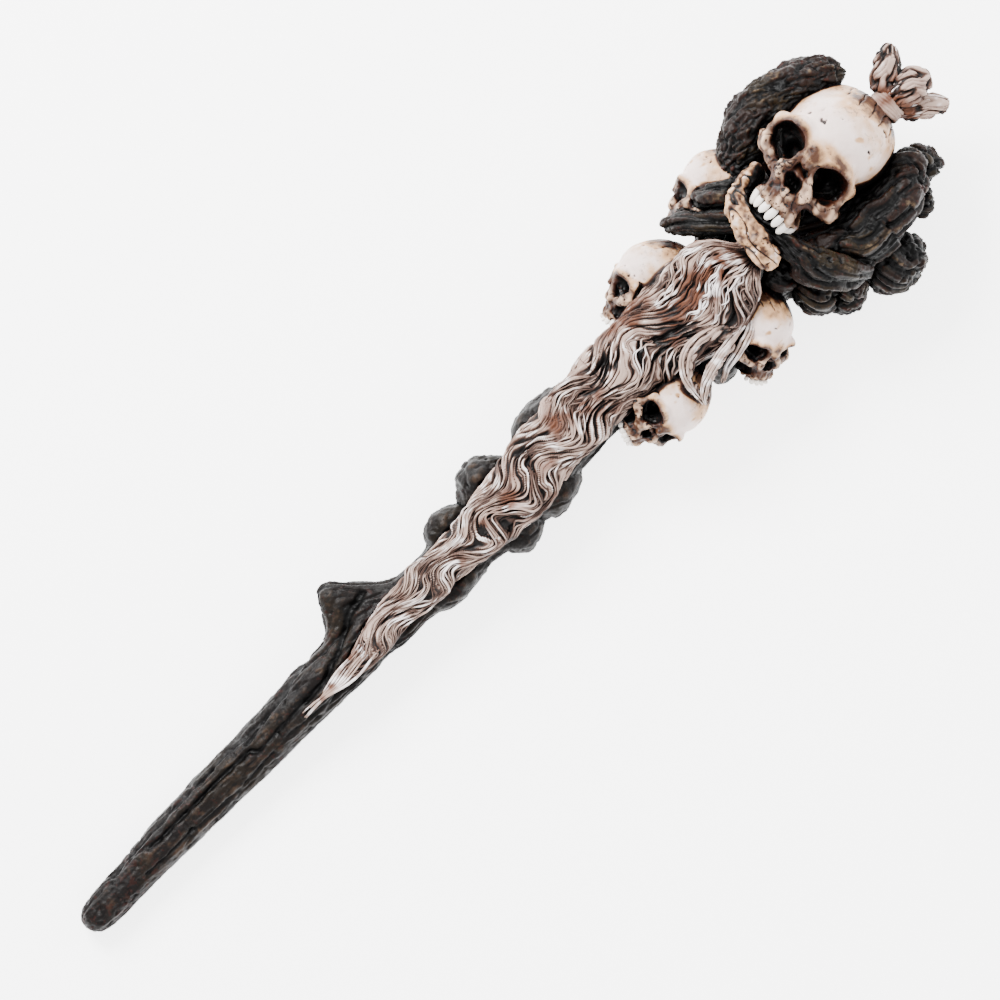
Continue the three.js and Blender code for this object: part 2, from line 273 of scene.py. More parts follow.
def centre_line(name, stations=7):
    """The middle of a CAD limb, slice by slice along the longest side of its box, in millimetres."""
    low, high = node_box(name)
    axis = int(np.argmax(high - low))
    edges = node_edges(name)
    levels = np.linspace(low[axis], high[axis], stations + 2)[1:-1]
    line = np.array([cut_edges(edges, axis, level).mean(0) for level in levels])
    return np.concatenate([[2 * line[0] - line[1]], line, [2 * line[-1] - line[-2]]])


def node_middle(name):
    low, high = node_box(name)
    return (low + high) / 2


def point_normals(points, faces):
    diagonal = np.cross(points[faces[:, 2]] - points[faces[:, 0]], points[faces[:, 3]] - points[faces[:, 1]])
    normals = np.zeros_like(points)
    for i in range(4):
        for axis in range(3):
            normals[:, axis] += np.bincount(faces[:, i], diagonal[:, axis], len(points))
    return normals / np.maximum(np.linalg.norm(normals, axis=1), 1e-12)[:, None]


# The whole wand, coarse, to know how hemmed in each point of its skin is, for the painted shade in its
# crevices.
AROUND = node_field([n for n in NODES if n != "core_rod"], 0.8, 9.0).blurred(0.7)


def painted_crevice_shade(points, normals):
    """Painted shade: 0 on open ground, up to 1 at the bottom of a crevice between pieces, where little light
    reaches.
    """
    total = np.zeros(len(points), np.float32)
    for reach, weight in ((1.6, 0.3), (3.2, 0.3), (6.0, 0.25), (8.5, 0.15)):
        clear = AROUND.at(points + reach * normals)
        total += weight * np.clip((reach - clear) / reach, 0, 1.3)
    return np.clip(total, 0, 1)


# ------------------------------------------------------------------ making pieces
def finish_piece(name, points, faces, material, cad_nodes, masks):
    """A finished piece from points in millimetres: its place is in its mesh."""
    mesh = bpy.data.meshes.new(name)
    mesh.vertices.add(len(points))
    mesh.vertices.foreach_set("co", (np.asarray(points) * MM).astype(np.float32).ravel())
    faces = np.asarray(faces)
    sides = faces.shape[1]
    mesh.loops.add(faces.size)
    mesh.loops.foreach_set("vertex_index", faces.astype(np.int32).ravel())
    mesh.polygons.add(len(faces))
    mesh.polygons.foreach_set("loop_start", np.arange(0, faces.size, sides, dtype=np.int32))
    shade_smooth(mesh)
    mesh.update(calc_edges=True)
    for mask, values in masks.items():
        add_mask(mesh, mask, values)
    return settle(bpy.data.objects.new(name, mesh), material, cad_nodes)


def shade_smooth(mesh):
    mesh.polygons.foreach_set("use_smooth", np.ones(len(mesh.polygons), bool))


def add_mask(mesh, name, values):
    attribute = mesh.attributes.new(name, "FLOAT", "POINT")
    attribute.data.foreach_set("value", np.asarray(values, np.float32))


def settle(piece, material, cad_nodes):
    """Gives a piece its finish and hangs it on the wand's one body."""
    if piece.name not in bpy.context.scene.collection.objects:
        bpy.context.scene.collection.objects.link(piece)
    piece.data.materials.clear()
    piece.data.materials.append(material)
    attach(piece, "root")
    if cad_nodes:
        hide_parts(*cad_nodes)
    return piece


def mesh_points(mesh):
    """A mesh's points, in millimetres, and the way that each one faces."""
    co = np.zeros(len(mesh.vertices) * 3, np.float32)
    mesh.vertices.foreach_get("co", co)
    normals = np.zeros(len(mesh.vertices) * 3, np.float32)
    mesh.vertices.foreach_get("normal", normals)
    return co.reshape(-1, 3) / MM, normals.reshape(-1, 3)


# ------------------------------------------------------------------ node tree helpers
def new_node(tree, kind, at, **settings):
    node = tree.nodes.new(kind)
    node.location = at
    for key, value in settings.items():
        setattr(node, key, value)
    return node


def group_socket(tree, name, kind, default=None, way="INPUT"):
    socket = tree.interface.new_socket(name=name, in_out=way, socket_type=kind)
    if default is not None:
        socket.default_value = default
    return socket


def shader_group(name, inputs, outputs):
    """An empty shader group with its sockets: returns the tree, its input node and its output node."""
    tree = bpy.data.node_groups.new(name, "ShaderNodeTree")
    for label, kind, default in inputs:
        group_socket(tree, label, kind, default)
    for label, kind in outputs:
        group_socket(tree, label, kind, way="OUTPUT")
    return tree, new_node(tree, "NodeGroupInput", (-900, 0)), new_node(tree, "NodeGroupOutput", (700, 0))


def math_node(tree, operation, a, b, at, clamp=False):
    node = new_node(tree, "ShaderNodeMath", at, operation=operation, use_clamp=clamp)
    for index, value in enumerate((a, b)):
        if isinstance(value, (int, float)):
            node.inputs[index].default_value = value
        else:
            tree.links.new(value, node.inputs[index])
    return node.outputs[0]


def mix_colour(tree, factor, first, second, at):
    node = new_node(tree, "ShaderNodeMix", at, data_type="RGBA")
    for socket, value in ((node.inputs[0], factor), (node.inputs[6], first), (node.inputs[7], second)):
        tree.links.new(value, socket)
    return node.outputs[2]


def noise_node(tree, vector, scale, detail, rough, at):
    node = new_node(tree, "ShaderNodeTexNoise", at)
    tree.links.new(vector, node.inputs["Vector"])
    tree.links.new(scale, node.inputs["Scale"])
    node.inputs["Detail"].default_value = detail
    node.inputs["Roughness"].default_value = rough
    return node.outputs["Fac"]


def range_node(tree, value, low, high, at):
    """0 below the low value, 1 above the high one, and an easy slope between them."""
    node = new_node(tree, "ShaderNodeMapRange", at, interpolation_type="SMOOTHSTEP")
    for label, socket in (("Value", value), ("From Min", low), ("From Max", high)):
        tree.links.new(socket, node.inputs[label])
    return node.outputs["Result"]


COLOUR, NUMBER, VECTOR = "NodeSocketColor", "NodeSocketFloat", "NodeSocketVector"


def build_wash_group():
    """Thin paint that runs into the recesses and dries there with a ragged edge. Over masks that follow
    crevices between pieces or faces turned away from the light, its dark coats are painted shade; over faces
    turned up to the light, its pale coats are painted highlight.
    """
    tree, given, result = shader_group(
        "recess_wash_and_shade",
        [
            ("Colour", COLOUR, (0.8, 0.7, 0.6, 1)),
            ("Wash Colour", COLOUR, (0.1, 0.05, 0.03, 1)),
            ("Recess", NUMBER, 0.0),
            ("Start", NUMBER, 0.2),
            ("Full", NUMBER, 0.7),
            ("Raggedness", NUMBER, 0.25),
            ("Grain Scale", NUMBER, 900.0),
            ("Strength", NUMBER, 1.0),
            ("Position", VECTOR, None),
        ],
        [("Colour", COLOUR), ("Mask", NUMBER)],
    )
    ragged = noise_node(tree, given.outputs["Position"], given.outputs["Grain Scale"], 4.0, 0.6, (-650, -200))
    centred = math_node(tree, "SUBTRACT", ragged, 0.5, at=(-450, -200))
    shift = math_node(tree, "MULTIPLY", centred, given.outputs["Raggedness"], at=(-300, -200))
    depth = math_node(tree, "ADD", given.outputs["Recess"], shift, at=(-150, -50))
    mask = range_node(tree, depth, given.outputs["Start"], given.outputs["Full"], at=(0, -50))
    strong = math_node(tree, "MULTIPLY", mask, given.outputs["Strength"], clamp=True, at=(180, -50))
    mixed = mix_colour(tree, strong, given.outputs["Colour"], given.outputs["Wash Colour"], at=(400, 50))
    tree.links.new(mixed, result.inputs["Colour"])
    tree.links.new(strong, result.inputs["Mask"])
    return tree


def build_speckle_group():
    """Scattered flecks and small pits of another colour."""
    tree, given, result = shader_group(
        "flecks",
        [
            ("Colour", COLOUR, (0.8, 0.7, 0.6, 1)),
            ("Fleck Colour", COLOUR, (0.1, 0.05, 0.03, 1)),
            ("Scale", NUMBER, 700.0),
            ("Coverage", NUMBER, 0.15),
            ("Patch Scale", NUMBER, 120.0),
            ("Strength", NUMBER, 1.0),
            ("Position", VECTOR, None),
        ],
        [("Colour", COLOUR), ("Mask", NUMBER)],
    )
    fine = noise_node(tree, given.outputs["Position"], given.outputs["Scale"], 2.0, 0.5, (-650, 100))
    patch = noise_node(tree, given.outputs["Position"], given.outputs["Patch Scale"], 2.0, 0.5, (-650, -150))
    half_patch = math_node(tree, "MULTIPLY", patch, 0.5, at=(-450, -150))
    summed = math_node(tree, "ADD", fine, half_patch, at=(-300, 0))
    level = math_node(tree, "SUBTRACT", 1.02, given.outputs["Coverage"], at=(-300, -200))
    top = math_node(tree, "ADD", level, 0.07, at=(-150, -200))
    mask = range_node(tree, summed, level, top, at=(0, 0))
    strong = math_node(tree, "MULTIPLY", mask, given.outputs["Strength"], clamp=True, at=(180, 0))
    mixed = mix_colour(tree, strong, given.outputs["Colour"], given.outputs["Fleck Colour"], at=(400, 50))
    tree.links.new(mixed, result.inputs["Colour"])
    tree.links.new(strong, result.inputs["Mask"])
    return tree


def build_grain_group():
    """The fine unevenness of a resin casting, as a height and a roughness."""
    tree, given, result = shader_group(
        "cast_grain",
        [
            ("Scale", NUMBER, 1200.0),
            ("Coarse Share", NUMBER, 0.5),
            ("Base Roughness", NUMBER, 0.5),
            ("Roughness Spread", NUMBER, 0.2),
            ("Position", VECTOR, None),
        ],
        [("Height", NUMBER), ("Roughness", NUMBER)],
    )
    fine = noise_node(tree, given.outputs["Position"], given.outputs["Scale"], 3.0, 0.6, (-650, 100))
    quarter = math_node(tree, "MULTIPLY", given.outputs["Scale"], 0.22, at=(-800, -200))
    coarse = noise_node(tree, given.outputs["Position"], quarter, 3.0, 0.5, (-650, -150))
    share = math_node(tree, "MULTIPLY", coarse, given.outputs["Coarse Share"], at=(-400, -150))
    height = math_node(tree, "ADD", fine, share, at=(-200, 50))
    spread = math_node(tree, "MULTIPLY", coarse, given.outputs["Roughness Spread"], at=(-200, -200))
    rough = math_node(tree, "ADD", given.outputs["Base Roughness"], spread, clamp=True, at=(0, -200))
    tree.links.new(height, result.inputs["Height"])
    tree.links.new(rough, result.inputs["Roughness"])
    return tree


class Finish:
    """One painted material, built up coat by coat."""

    def __init__(self, name, base, specular=0.35):
        self.material = bpy.data.materials.new(name)
        self.material.use_nodes = True
        self.tree = self.material.node_tree
        self.shader = self.tree.nodes["Principled BSDF"]
        self.shader.inputs["Specular IOR Level"].default_value = specular
        self.position = new_node(self.tree, "ShaderNodeTexCoord", (-1800, 300)).outputs["Object"]
        self.colour = base
        self.column = -1500

    def mask(self, name):
        node = new_node(self.tree, "ShaderNodeAttribute", (self.column, -300), attribute_name=name)
        return node.outputs["Fac"]

    def coat(self, group, **values):
        """Adds a group's node over the colour so far. Values are numbers, colours or sockets."""
        node = new_node(self.tree, "ShaderNodeGroup", (self.column, 200), node_tree=group)
        self.column += 220
        values = {key.replace("_", " ").title(): value for key, value in values.items()}
        if "Colour" in node.inputs:
            values.setdefault("Colour", self.colour)
        values["Position"] = self.position
        for label, value in values.items():
            if isinstance(value, (int, float, tuple)):
                node.inputs[label].default_value = value
            else:
                self.tree.links.new(value, node.inputs[label])
        if "Colour" in node.outputs:
            self.colour = node.outputs["Colour"]
        return node

    def wash(self, colour, where, start, full, ragged, grain, strength):
        """Thin paint that begins where a mask passes its start value and is solid at its full one."""
        self.coat(
            GROUPS["wash"], wash_colour=colour, recess=where, start=start, full=full,
            raggedness=ragged, grain_scale=grain, strength=strength,
        )

    def flecks(self, colour, scale, coverage, patch, strength):
        self.coat(
            GROUPS["flecks"], fleck_colour=colour, scale=scale, coverage=coverage,
            patch_scale=patch, strength=strength,
        )

    def close(self, scale, coarse, rough, spread, bump):
        """Adds the casting's grain, with its relief in metres, and returns the finished material."""
        node = self.coat(
            GROUPS["grain"], scale=scale, coarse_share=coarse, base_roughness=rough, roughness_spread=spread
        )
        self.tree.links.new(node.outputs["Roughness"], self.shader.inputs["Roughness"])
        relief = new_node(self.tree, "ShaderNodeBump", (self.column, -200))
        relief.inputs["Strength"].default_value = 0.6
        relief.inputs["Distance"].default_value = bump
        self.tree.links.new(node.outputs["Height"], relief.inputs["Height"])
        self.tree.links.new(relief.outputs["Normal"], self.shader.inputs["Normal"])
        if isinstance(self.colour, tuple):
            self.shader.inputs["Base Color"].default_value = self.colour
        else:
            self.tree.links.new(self.colour, self.shader.inputs["Base Color"])
        return self.material


GROUPS = {"wash": build_wash_group(), "flecks": build_speckle_group(), "grain": build_grain_group()}


def paint(red, green, blue):
    """A paint colour from the 0 to 255 values that it shows in strong light."""
    return tuple((c / 255) ** 3.2 for c in (red, green, blue)) + (1.0,)


def bone_finish():
    finish = Finish("aged_bone_paint", paint(238, 222, 216), 0.3)
    stain, recess = finish.mask("stain"), finish.mask("recess")
    proud, brushed = finish.mask("proud"), finish.mask("brushed")
    finish.wash(paint(255, 252, 255), proud, start=0.25, full=0.65, ragged=0.15, grain=300.0, strength=0.97)
    # The brown coats over the stain mask are the paint's own stain, and also painted shade where that mask
    # follows crevices between pieces.
    finish.wash(paint(206, 166, 116), stain, start=0.05, full=0.5, ragged=0.45, grain=260.0, strength=0.85)
    finish.wash(paint(84, 46, 18), stain, start=0.38, full=0.85, ragged=0.6, grain=480.0, strength=0.95)
    finish.wash(paint(230, 202, 178), brushed, start=0.15, full=0.95, ragged=0.3, grain=620.0, strength=0.9)
    # The two dark coats over the recess mask are the paint's wash in pits, seams and sockets, and painted
    # shade in crevices between pieces.
    finish.wash(paint(84, 46, 22), recess, start=0.14, full=0.52, ragged=0.3, grain=900.0, strength=0.9)
    finish.wash(paint(20, 8, 4), recess, start=0.38, full=0.75, ragged=0.3, grain=700.0, strength=1.0)
    finish.flecks(paint(60, 28, 18), scale=950.0, coverage=0.16, patch=110.0, strength=stain)
    return finish.close(scale=1400.0, coarse=0.6, rough=0.36, spread=0.2, bump=0.0002)


def tooth_finish():
    finish = Finish("tooth_ivory_paint", paint(248, 242, 236), 0.4)
    recess = finish.mask("recess")
    # The dark coat over the recess mask is the paint's wash at the roots of the teeth and painted shade where
    # they sit among other pieces.
    finish.wash(paint(128, 78, 50), recess, start=0.2, full=0.8, ragged=0.3, grain=900.0, strength=0.95)
    return finish.close(scale=1600.0, coarse=0.5, rough=0.3, spread=0.15, bump=0.0001)


def hair_finish():
    finish = Finish("beard_paint", paint(192, 172, 162), 0.25)
    tone, recess, proud = finish.mask("stain"), finish.mask("recess"), finish.mask("proud")
    finish.wash(paint(122, 80, 52), tone, start=0.32, full=1.0, ragged=0.5, grain=320.0, strength=0.95)
    # The pale coat is dry-brushing on the raised strands and a painted highlight on faces turned up to the
    # light.
    finish.wash(paint(255, 249, 248), proud, start=0.38, full=0.95, ragged=0.55, grain=420.0, strength=0.95)
    # The dark coats over the recess mask are the paint's wash between the strands, and painted shade on faces
    # turned away from the light and in crevices.
    finish.wash(paint(94, 66, 54), recess, start=0.14, full=0.5, ragged=0.4, grain=700.0, strength=0.9)
    finish.wash(paint(30, 14, 9), recess, start=0.38, full=0.95, ragged=0.35, grain=900.0, strength=1.0)
    return finish.close(scale=1500.0, coarse=0.6, rough=0.4, spread=0.2, bump=0.00015)


def wood_finish(name, base, patch, brush, fleck):
    finish = Finish(name, base, 0.16)
    proud, stain, recess = finish.mask("proud"), finish.mask("stain"), finish.mask("recess")
    finish.wash(patch, stain, start=0.45, full=0.9, ragged=0.5, grain=240.0, strength=0.8)
    # The brushed coat is dry-brushing on the raised grain and a painted highlight on faces turned up to the
    # light.
    finish.wash(brush, proud, start=0.62, full=1.35, ragged=1.0, grain=750.0, strength=0.62)
    finish.flecks(fleck, scale=620.0, coverage=0.16, patch=60.0, strength=0.5)
    finish.flecks(paint(20, 12, 9), scale=820.0, coverage=0.2, patch=90.0, strength=0.7)
    # The last dark coat is the paint's wash in the grain's furrows and painted shade in crevices between
    # pieces.
    finish.wash(paint(14, 6, 3), recess, start=0.28, full=0.7, ragged=0.35, grain=700.0, strength=1.0)
    return finish.close(scale=1100.0, coarse=0.9, rough=0.32, spread=0.3, bump=0.0003)


def steel_finish():
    finish = Finish("drawn_steel", paint(150, 152, 156))
    finish.shader.inputs["Metallic"].default_value = 1.0
    return finish.close(scale=900.0, coarse=0.4, rough=0.3, spread=0.15, bump=0.00005)


BONE = bone_finish()
IVORY = tooth_finish()
HAIR = hair_finish()
BARK = wood_finish(
    "bark_paint", paint(38, 28, 24),
    patch=paint(52, 43, 31), brush=paint(100, 84, 71), fleck=paint(76, 44, 34),
)
ROOT = wood_finish(
    "root_paint", paint(56, 38, 28),
    patch=paint(64, 55, 36), brush=paint(150, 132, 112), fleck=paint(90, 48, 34),
)
STEEL = steel_finish()


# ------------------------------------------------------------------ simple shapes and how they join
def egg(space, centre, radii):
    p = [(space[i] - centre[i]) / radii[i] for i in range(3)]
    near = np.sqrt(p[0] ** 2 + p[1] ** 2 + p[2] ** 2)
    far = np.sqrt(sum((p[i] / radii[i]) ** 2 for i in range(3)))
    return near * (near - 1) / np.maximum(far, 1e-6)


def bar(space, start, end, start_radius, end_radius):
    axis = [end[i] - start[i] for i in range(3)]
    length = sum(a * a for a in axis)
    t = np.clip(sum((space[i] - start[i]) * axis[i] for i in range(3)) / length, 0, 1)
    gap = np.sqrt(sum((space[i] - start[i] - t * axis[i]) ** 2 for i in range(3)))
    return gap - (start_radius + (end_radius - start_radius) * t)


def melt(a, b, width):
    h = np.maximum(width - np.abs(a - b), 0) / width
    return np.minimum(a, b) - h * h * width / 4


def scoop(a, b, width):
    """Shape a with shape b hollowed out of it."""
    h = np.maximum(width - np.abs(a + b), 0) / width
    return np.maximum(a, -b) + h * h * width / 4


# ------------------------------------------------------------------ wood
STICK_LINE = centre_line("core_rod", 9)[:-3]
LIMBS = sorted(n for n in NODES if n.endswith("_root"))
GRAIN_LINES = {name: centre_line(name) for name in LIMBS}


def nearest_on_line(points, line):
    """Distance along the line, the offset from it, and the distance out, for each point."""
    starts, ends = line[:-1], line[1:]
    lengths = np.linalg.norm(ends - starts, axis=1)
    before = np.concatenate([[0], np.cumsum(lengths)[:-1]])
    best = np.full(len(points), 1e9)
    along = np.zeros(len(points))
    out = np.zeros((len(points), 3))
    for a, b, length, so_far in zip(starts, ends, lengths, before):
        t = np.clip(((points - a) @ (b - a)) / length**2, 0, 1)
        offset = points - (a + t[:, None] * (b - a))
        gap = np.linalg.norm(offset, axis=1)
        nearer = gap < best
        best[nearer] = gap[nearer]
        along[nearer] = so_far + t[nearer] * length
        out[nearer] = offset[nearer]
    return along, out, best


def grain_at(points, line, twist, own, wander=0.3):
    """Points laid out flat along a limb's grain: along it, and round it as a circle."""
    line = np.asarray(line, float)
    along, out, reach = nearest_on_line(points, line)
    heading = (line[-1] - line[0]) / np.linalg.norm(line[-1] - line[0])
    side = np.cross((0, 0, 1), heading)
    side /= np.linalg.norm(side)
    turn = np.arctan2(out @ side, out @ np.cross(heading, side))
    turn = turn + along * twist + wander * noise(points / 15 + own)
    ring = np.clip(reach, 2.5, 9)
    return lambda length, width: np.stack(
        [along / length + own, np.cos(turn) * ring / width + 31.7, np.sin(turn) * ring / width], 1
    )


def groove(values, width):
    """-1 where smooth noise passes through 0, and 0 away from there: a thin wandering furrow."""
    return smooth_step(0.0, width, np.abs(values)) - 1


def root_relief(points, name):
    """How far a root or a knot stands out at each point, in millimetres."""
    own = own_number(name, 97)
    if name in GRAIN_LINES:
        grain = grain_at(points, GRAIN_LINES[name], 0.03, own)
    else:
        middle = node_middle(name)
        grain = grain_at(points, [middle - (6, -4, 3), middle + (6, -4, 3)], 0.12, own)
    lumpy = 1.0 if name in ("left_root", "back_left_root") else 0.0
    swell = 0.5 * noise(points / 9.0 + own) + (0.35 + 0.35 * lumpy) * noise(points / 4.6 - own)
    cords = np.sqrt(np.clip(np.abs(noise(grain(36.0 - 24 * lumpy, 3.5))) / 0.45, 0, 1)) - 1
    deep = (2.0 - 1.2 * lumpy) * cords
    thin = (0.6 + 0.3 * lumpy) * groove(noise(grain(22.0 - 14 * lumpy, 1.9)), 0.25)
    strand = 0.12 * noise(grain(12.0, 0.9))
    crumbs = (0.16 + 0.2 * lumpy) * noise(points / 1.15 + own) + (0.1 + 0.1 * lumpy) * noise(points / 0.6)
    pocks = -0.7 * smooth_step(0.38, 0.7, noise(points / 2.3 + 5 * own))
    fine = deep + thin + strand + crumbs + pocks
    return swell + fine + 0.6, fine


BURRS = sorted(n for n in NODES if n.endswith("_burr") or n == "side_knot")
KNOTS = sorted(n for n in NODES if n.endswith("_knot") and n != "side_knot")
# Cracks and furrows on the upper side of the stick: points, each as its distance from the butt and
# its offset from the middle of the stick, then the half width and the depth, all in millimetres.
CRACKS = [
    ([(29, 2.2), (50, 2.0), (69, 1.3), (71, -1.0), (80, -0.7), (92, -0.2), (100, 0.2)], 0.7, 1.5),
    ([(98, 0.1), (107, 3.5), (116, 9.0), (124, 11.7)], 0.9, 1.6),
    ([(16, 4.6), (40, 5.4), (64, 5.5), (78, 4.8)], 0.5, 0.9),
    ([(70, 3.4), (86, 5.5), (98, 8.1), (108, 12.1)], 0.6, 1.0),
    ([(24, -2.5), (42, -3.5), (58, -4.7), (74, -4.4)], 0.45, 0.8),
    ([(78, -3.8), (92, -4.8), (106, -6.1)], 0.5, 0.8),
    ([(104, 10.1), (110, 14.4), (114, 19.6)], 0.6, 0.9),
]


def along_stick(points):
    """Each point's distance from the butt and its offset from the middle of the stick."""
    butt = CAD_BOX[0][0] / MM
    middle = np.interp(points[:, 0], STICK_LINE[:, 0], STICK_LINE[:, 1])
    return np.stack([points[:, 0] - butt, points[:, 1] - middle], 1)


def crack_relief(points):
    """The deep cracks on the upper side of the stick."""
    total = np.zeros(len(points))
    wander = 0.5 * noise(points / 3.5)
    place = along_stick(points)
    for line, half, depth in CRACKS:
        route = np.asarray(line, float)
        best = np.full(len(points), 1e9)
        for a, b in zip(route[:-1], route[1:]):
            t = np.clip(((place - a) @ (b - a)) / ((b - a) @ (b - a)), 0, 1)
            best = np.minimum(best, np.linalg.norm(place - (a + t[:, None] * (b - a)), axis=1))
        total = np.minimum(total, -depth * np.exp(-(((best + wander) / half) ** 2)))
    return np.where(points[:, 2] > 6.5, total, 0)


def stick_relief(points):
    """The bark of the stick and of the burrs that grow out of it, which run into one another."""
    grain = grain_at(points, STICK_LINE, 0.004, 11.0, 0.14)
    burr = np.zeros(len(points))
    for name in BURRS:
        low, high = node_box(name)
        near = np.linalg.norm((points - (low + high) / 2) / ((high - low) / 2 + 1.5), axis=1)
        burr = np.maximum(burr, smooth_step(1.15, 0.75, near))
    smooth = smooth_step(-60, -100, points[:, 0])
    swell = (0.6 - 0.25 * smooth) * noise(points / 9.0) + (0.25 - 0.1 * smooth) * noise(points / 4.5)
    deep = (0.75 - 0.4 * smooth) * groove(noise(grain(34.0, 2.8)), 0.12)
    thin = (0.32 - 0.1 * smooth) * groove(noise(grain(24.0, 1.3)), 0.2)
    strand = 0.13 * noise(grain(13.0, 0.7))
    gnarl = 0.4 * groove(noise(points / 5.0 + 8), 0.14) + 0.45 * noise(points / 3.1)
    crumbs = 0.12 * noise(points / 1.0) + 0.08 * noise(points / 0.55)
    pocks = -0.55 * smooth_step(0.42, 0.7, noise(points / 2.6 + 5))
    fine = (deep + thin + strand) * (1 - burr) + gnarl * burr + crumbs + pocks + crack_relief(points)
    return swell + fine, fine


def cut_to(union, piece, level, spare, edge):
    """The part of a blended union near one of its pieces, with a soft edge."""
    offset = np.round((piece.origin - union.origin) / union.step).astype(int)
    start, stop = np.maximum(offset, 0), np.minimum(offset + piece.values.shape, union.values.shape)
    whole = union.values[tuple(slice(a, b) for a, b in zip(start, stop))] - level
    own = piece.values[tuple(slice(a, b) for a, b in zip(start - offset, stop - offset))] - spare
    blend = np.maximum(edge - np.abs(whole - own), 0)
    values = np.maximum(whole, own) + blend * blend / (4 * edge)
    return Field(values, union.origin + start * union.step, union.step)


def carve_wood(name, field, relief_of, material):
    """A wooden piece with its bark cut into it; it stays flat where it lies on the table."""
    points, faces = field.surface(0.0)
    normals = point_normals(points, faces)
    relief, fine = relief_of(points)
    upright = 0.15 + 0.85 * smooth_step(0.4, 2.2, points[:, 2])
    moved = points + normals * (relief * upright)[:, None]
    moved[:, 2] = np.maximum(moved[:, 2], 0.0)
    crevice_shade = painted_crevice_shade(moved, normals)
    # Recess: the grain's furrows and painted shade in crevices between pieces. Proud: the raised grain, with
    # a painted highlight on faces turned up to the light and less of it in the painted shade.
    recess = np.clip(0.95 * smooth_step(0.2, 0.95, crevice_shade) + np.clip(-fine - 0.12, 0, 1) * 0.9, 0, 1)
    patchy = 0.55 * noise(points / 3.2 + 40)
    proud = np.clip(0.5 + 0.9 * fine + 0.2 * normals[:, 2] - 0.9 * crevice_shade + patchy, 0, 1.2)
    olive = np.clip(0.5 + 0.9 * noise(points / 13.0 + 3) + 0.4 * noise(points / 5.0), 0, 1)
    down, aside = along_stick(points).T
    rubbed = np.exp(-(((down - 65) / 15) ** 2 + ((aside - 2.2) / 2.6) ** 2))
    rubbed = np.maximum(rubbed, np.exp(-(((down - 46) / 20) ** 2 + ((aside + 4.0) / 2.0) ** 2)))
    proud = np.clip(proud + 0.4 * rubbed, 0, 1.3)
    olive = np.clip(olive + 0.6 * rubbed, 0, 1)
    masks = {"recess": recess, "proud": proud, "stain": olive}
    finish_piece(name + "_carved", moved, faces, material, [name], masks)


# The grid steps of the carved wood, in millimetres.
STICK_STEP, ROOT_STEP = 0.52, 0.42


def make_wood():
    """The stick with its burrs, then the roots and knots that hold the head."""
    union = node_field(["stick"] + BURRS, STICK_STEP, 5.0).blurred(1.7)
    for i, name in enumerate(["stick"] + BURRS):
        # Each burr ends a hair lower than the last, so that no two skins lie on one another.
        piece = cut_to(union, node_field([name], STICK_STEP, 5.0), 0.45 - 0.02 * i, 0.55, 1.0)
        carve_wood(name, piece, stick_relief, BARK)
    for name in LIMBS + KNOTS:
        thin = name in ("chin_root", "cheek_root", "temple_root")
        field = node_field([name], ROOT_STEP, 4.0).blurred(0.8 if thin else 1.3)
        field.values -= 0.42
        carve_wood(name, field, lambda p, n=name: root_relief(p, n), ROOT)


# ------------------------------------------------------------------ skulls
# A skull's own frame: crown up +X, face towards +Z, one unit from the crown to the upper teeth.
SOCKET_AT = (-0.085, 0.192, 0.33)


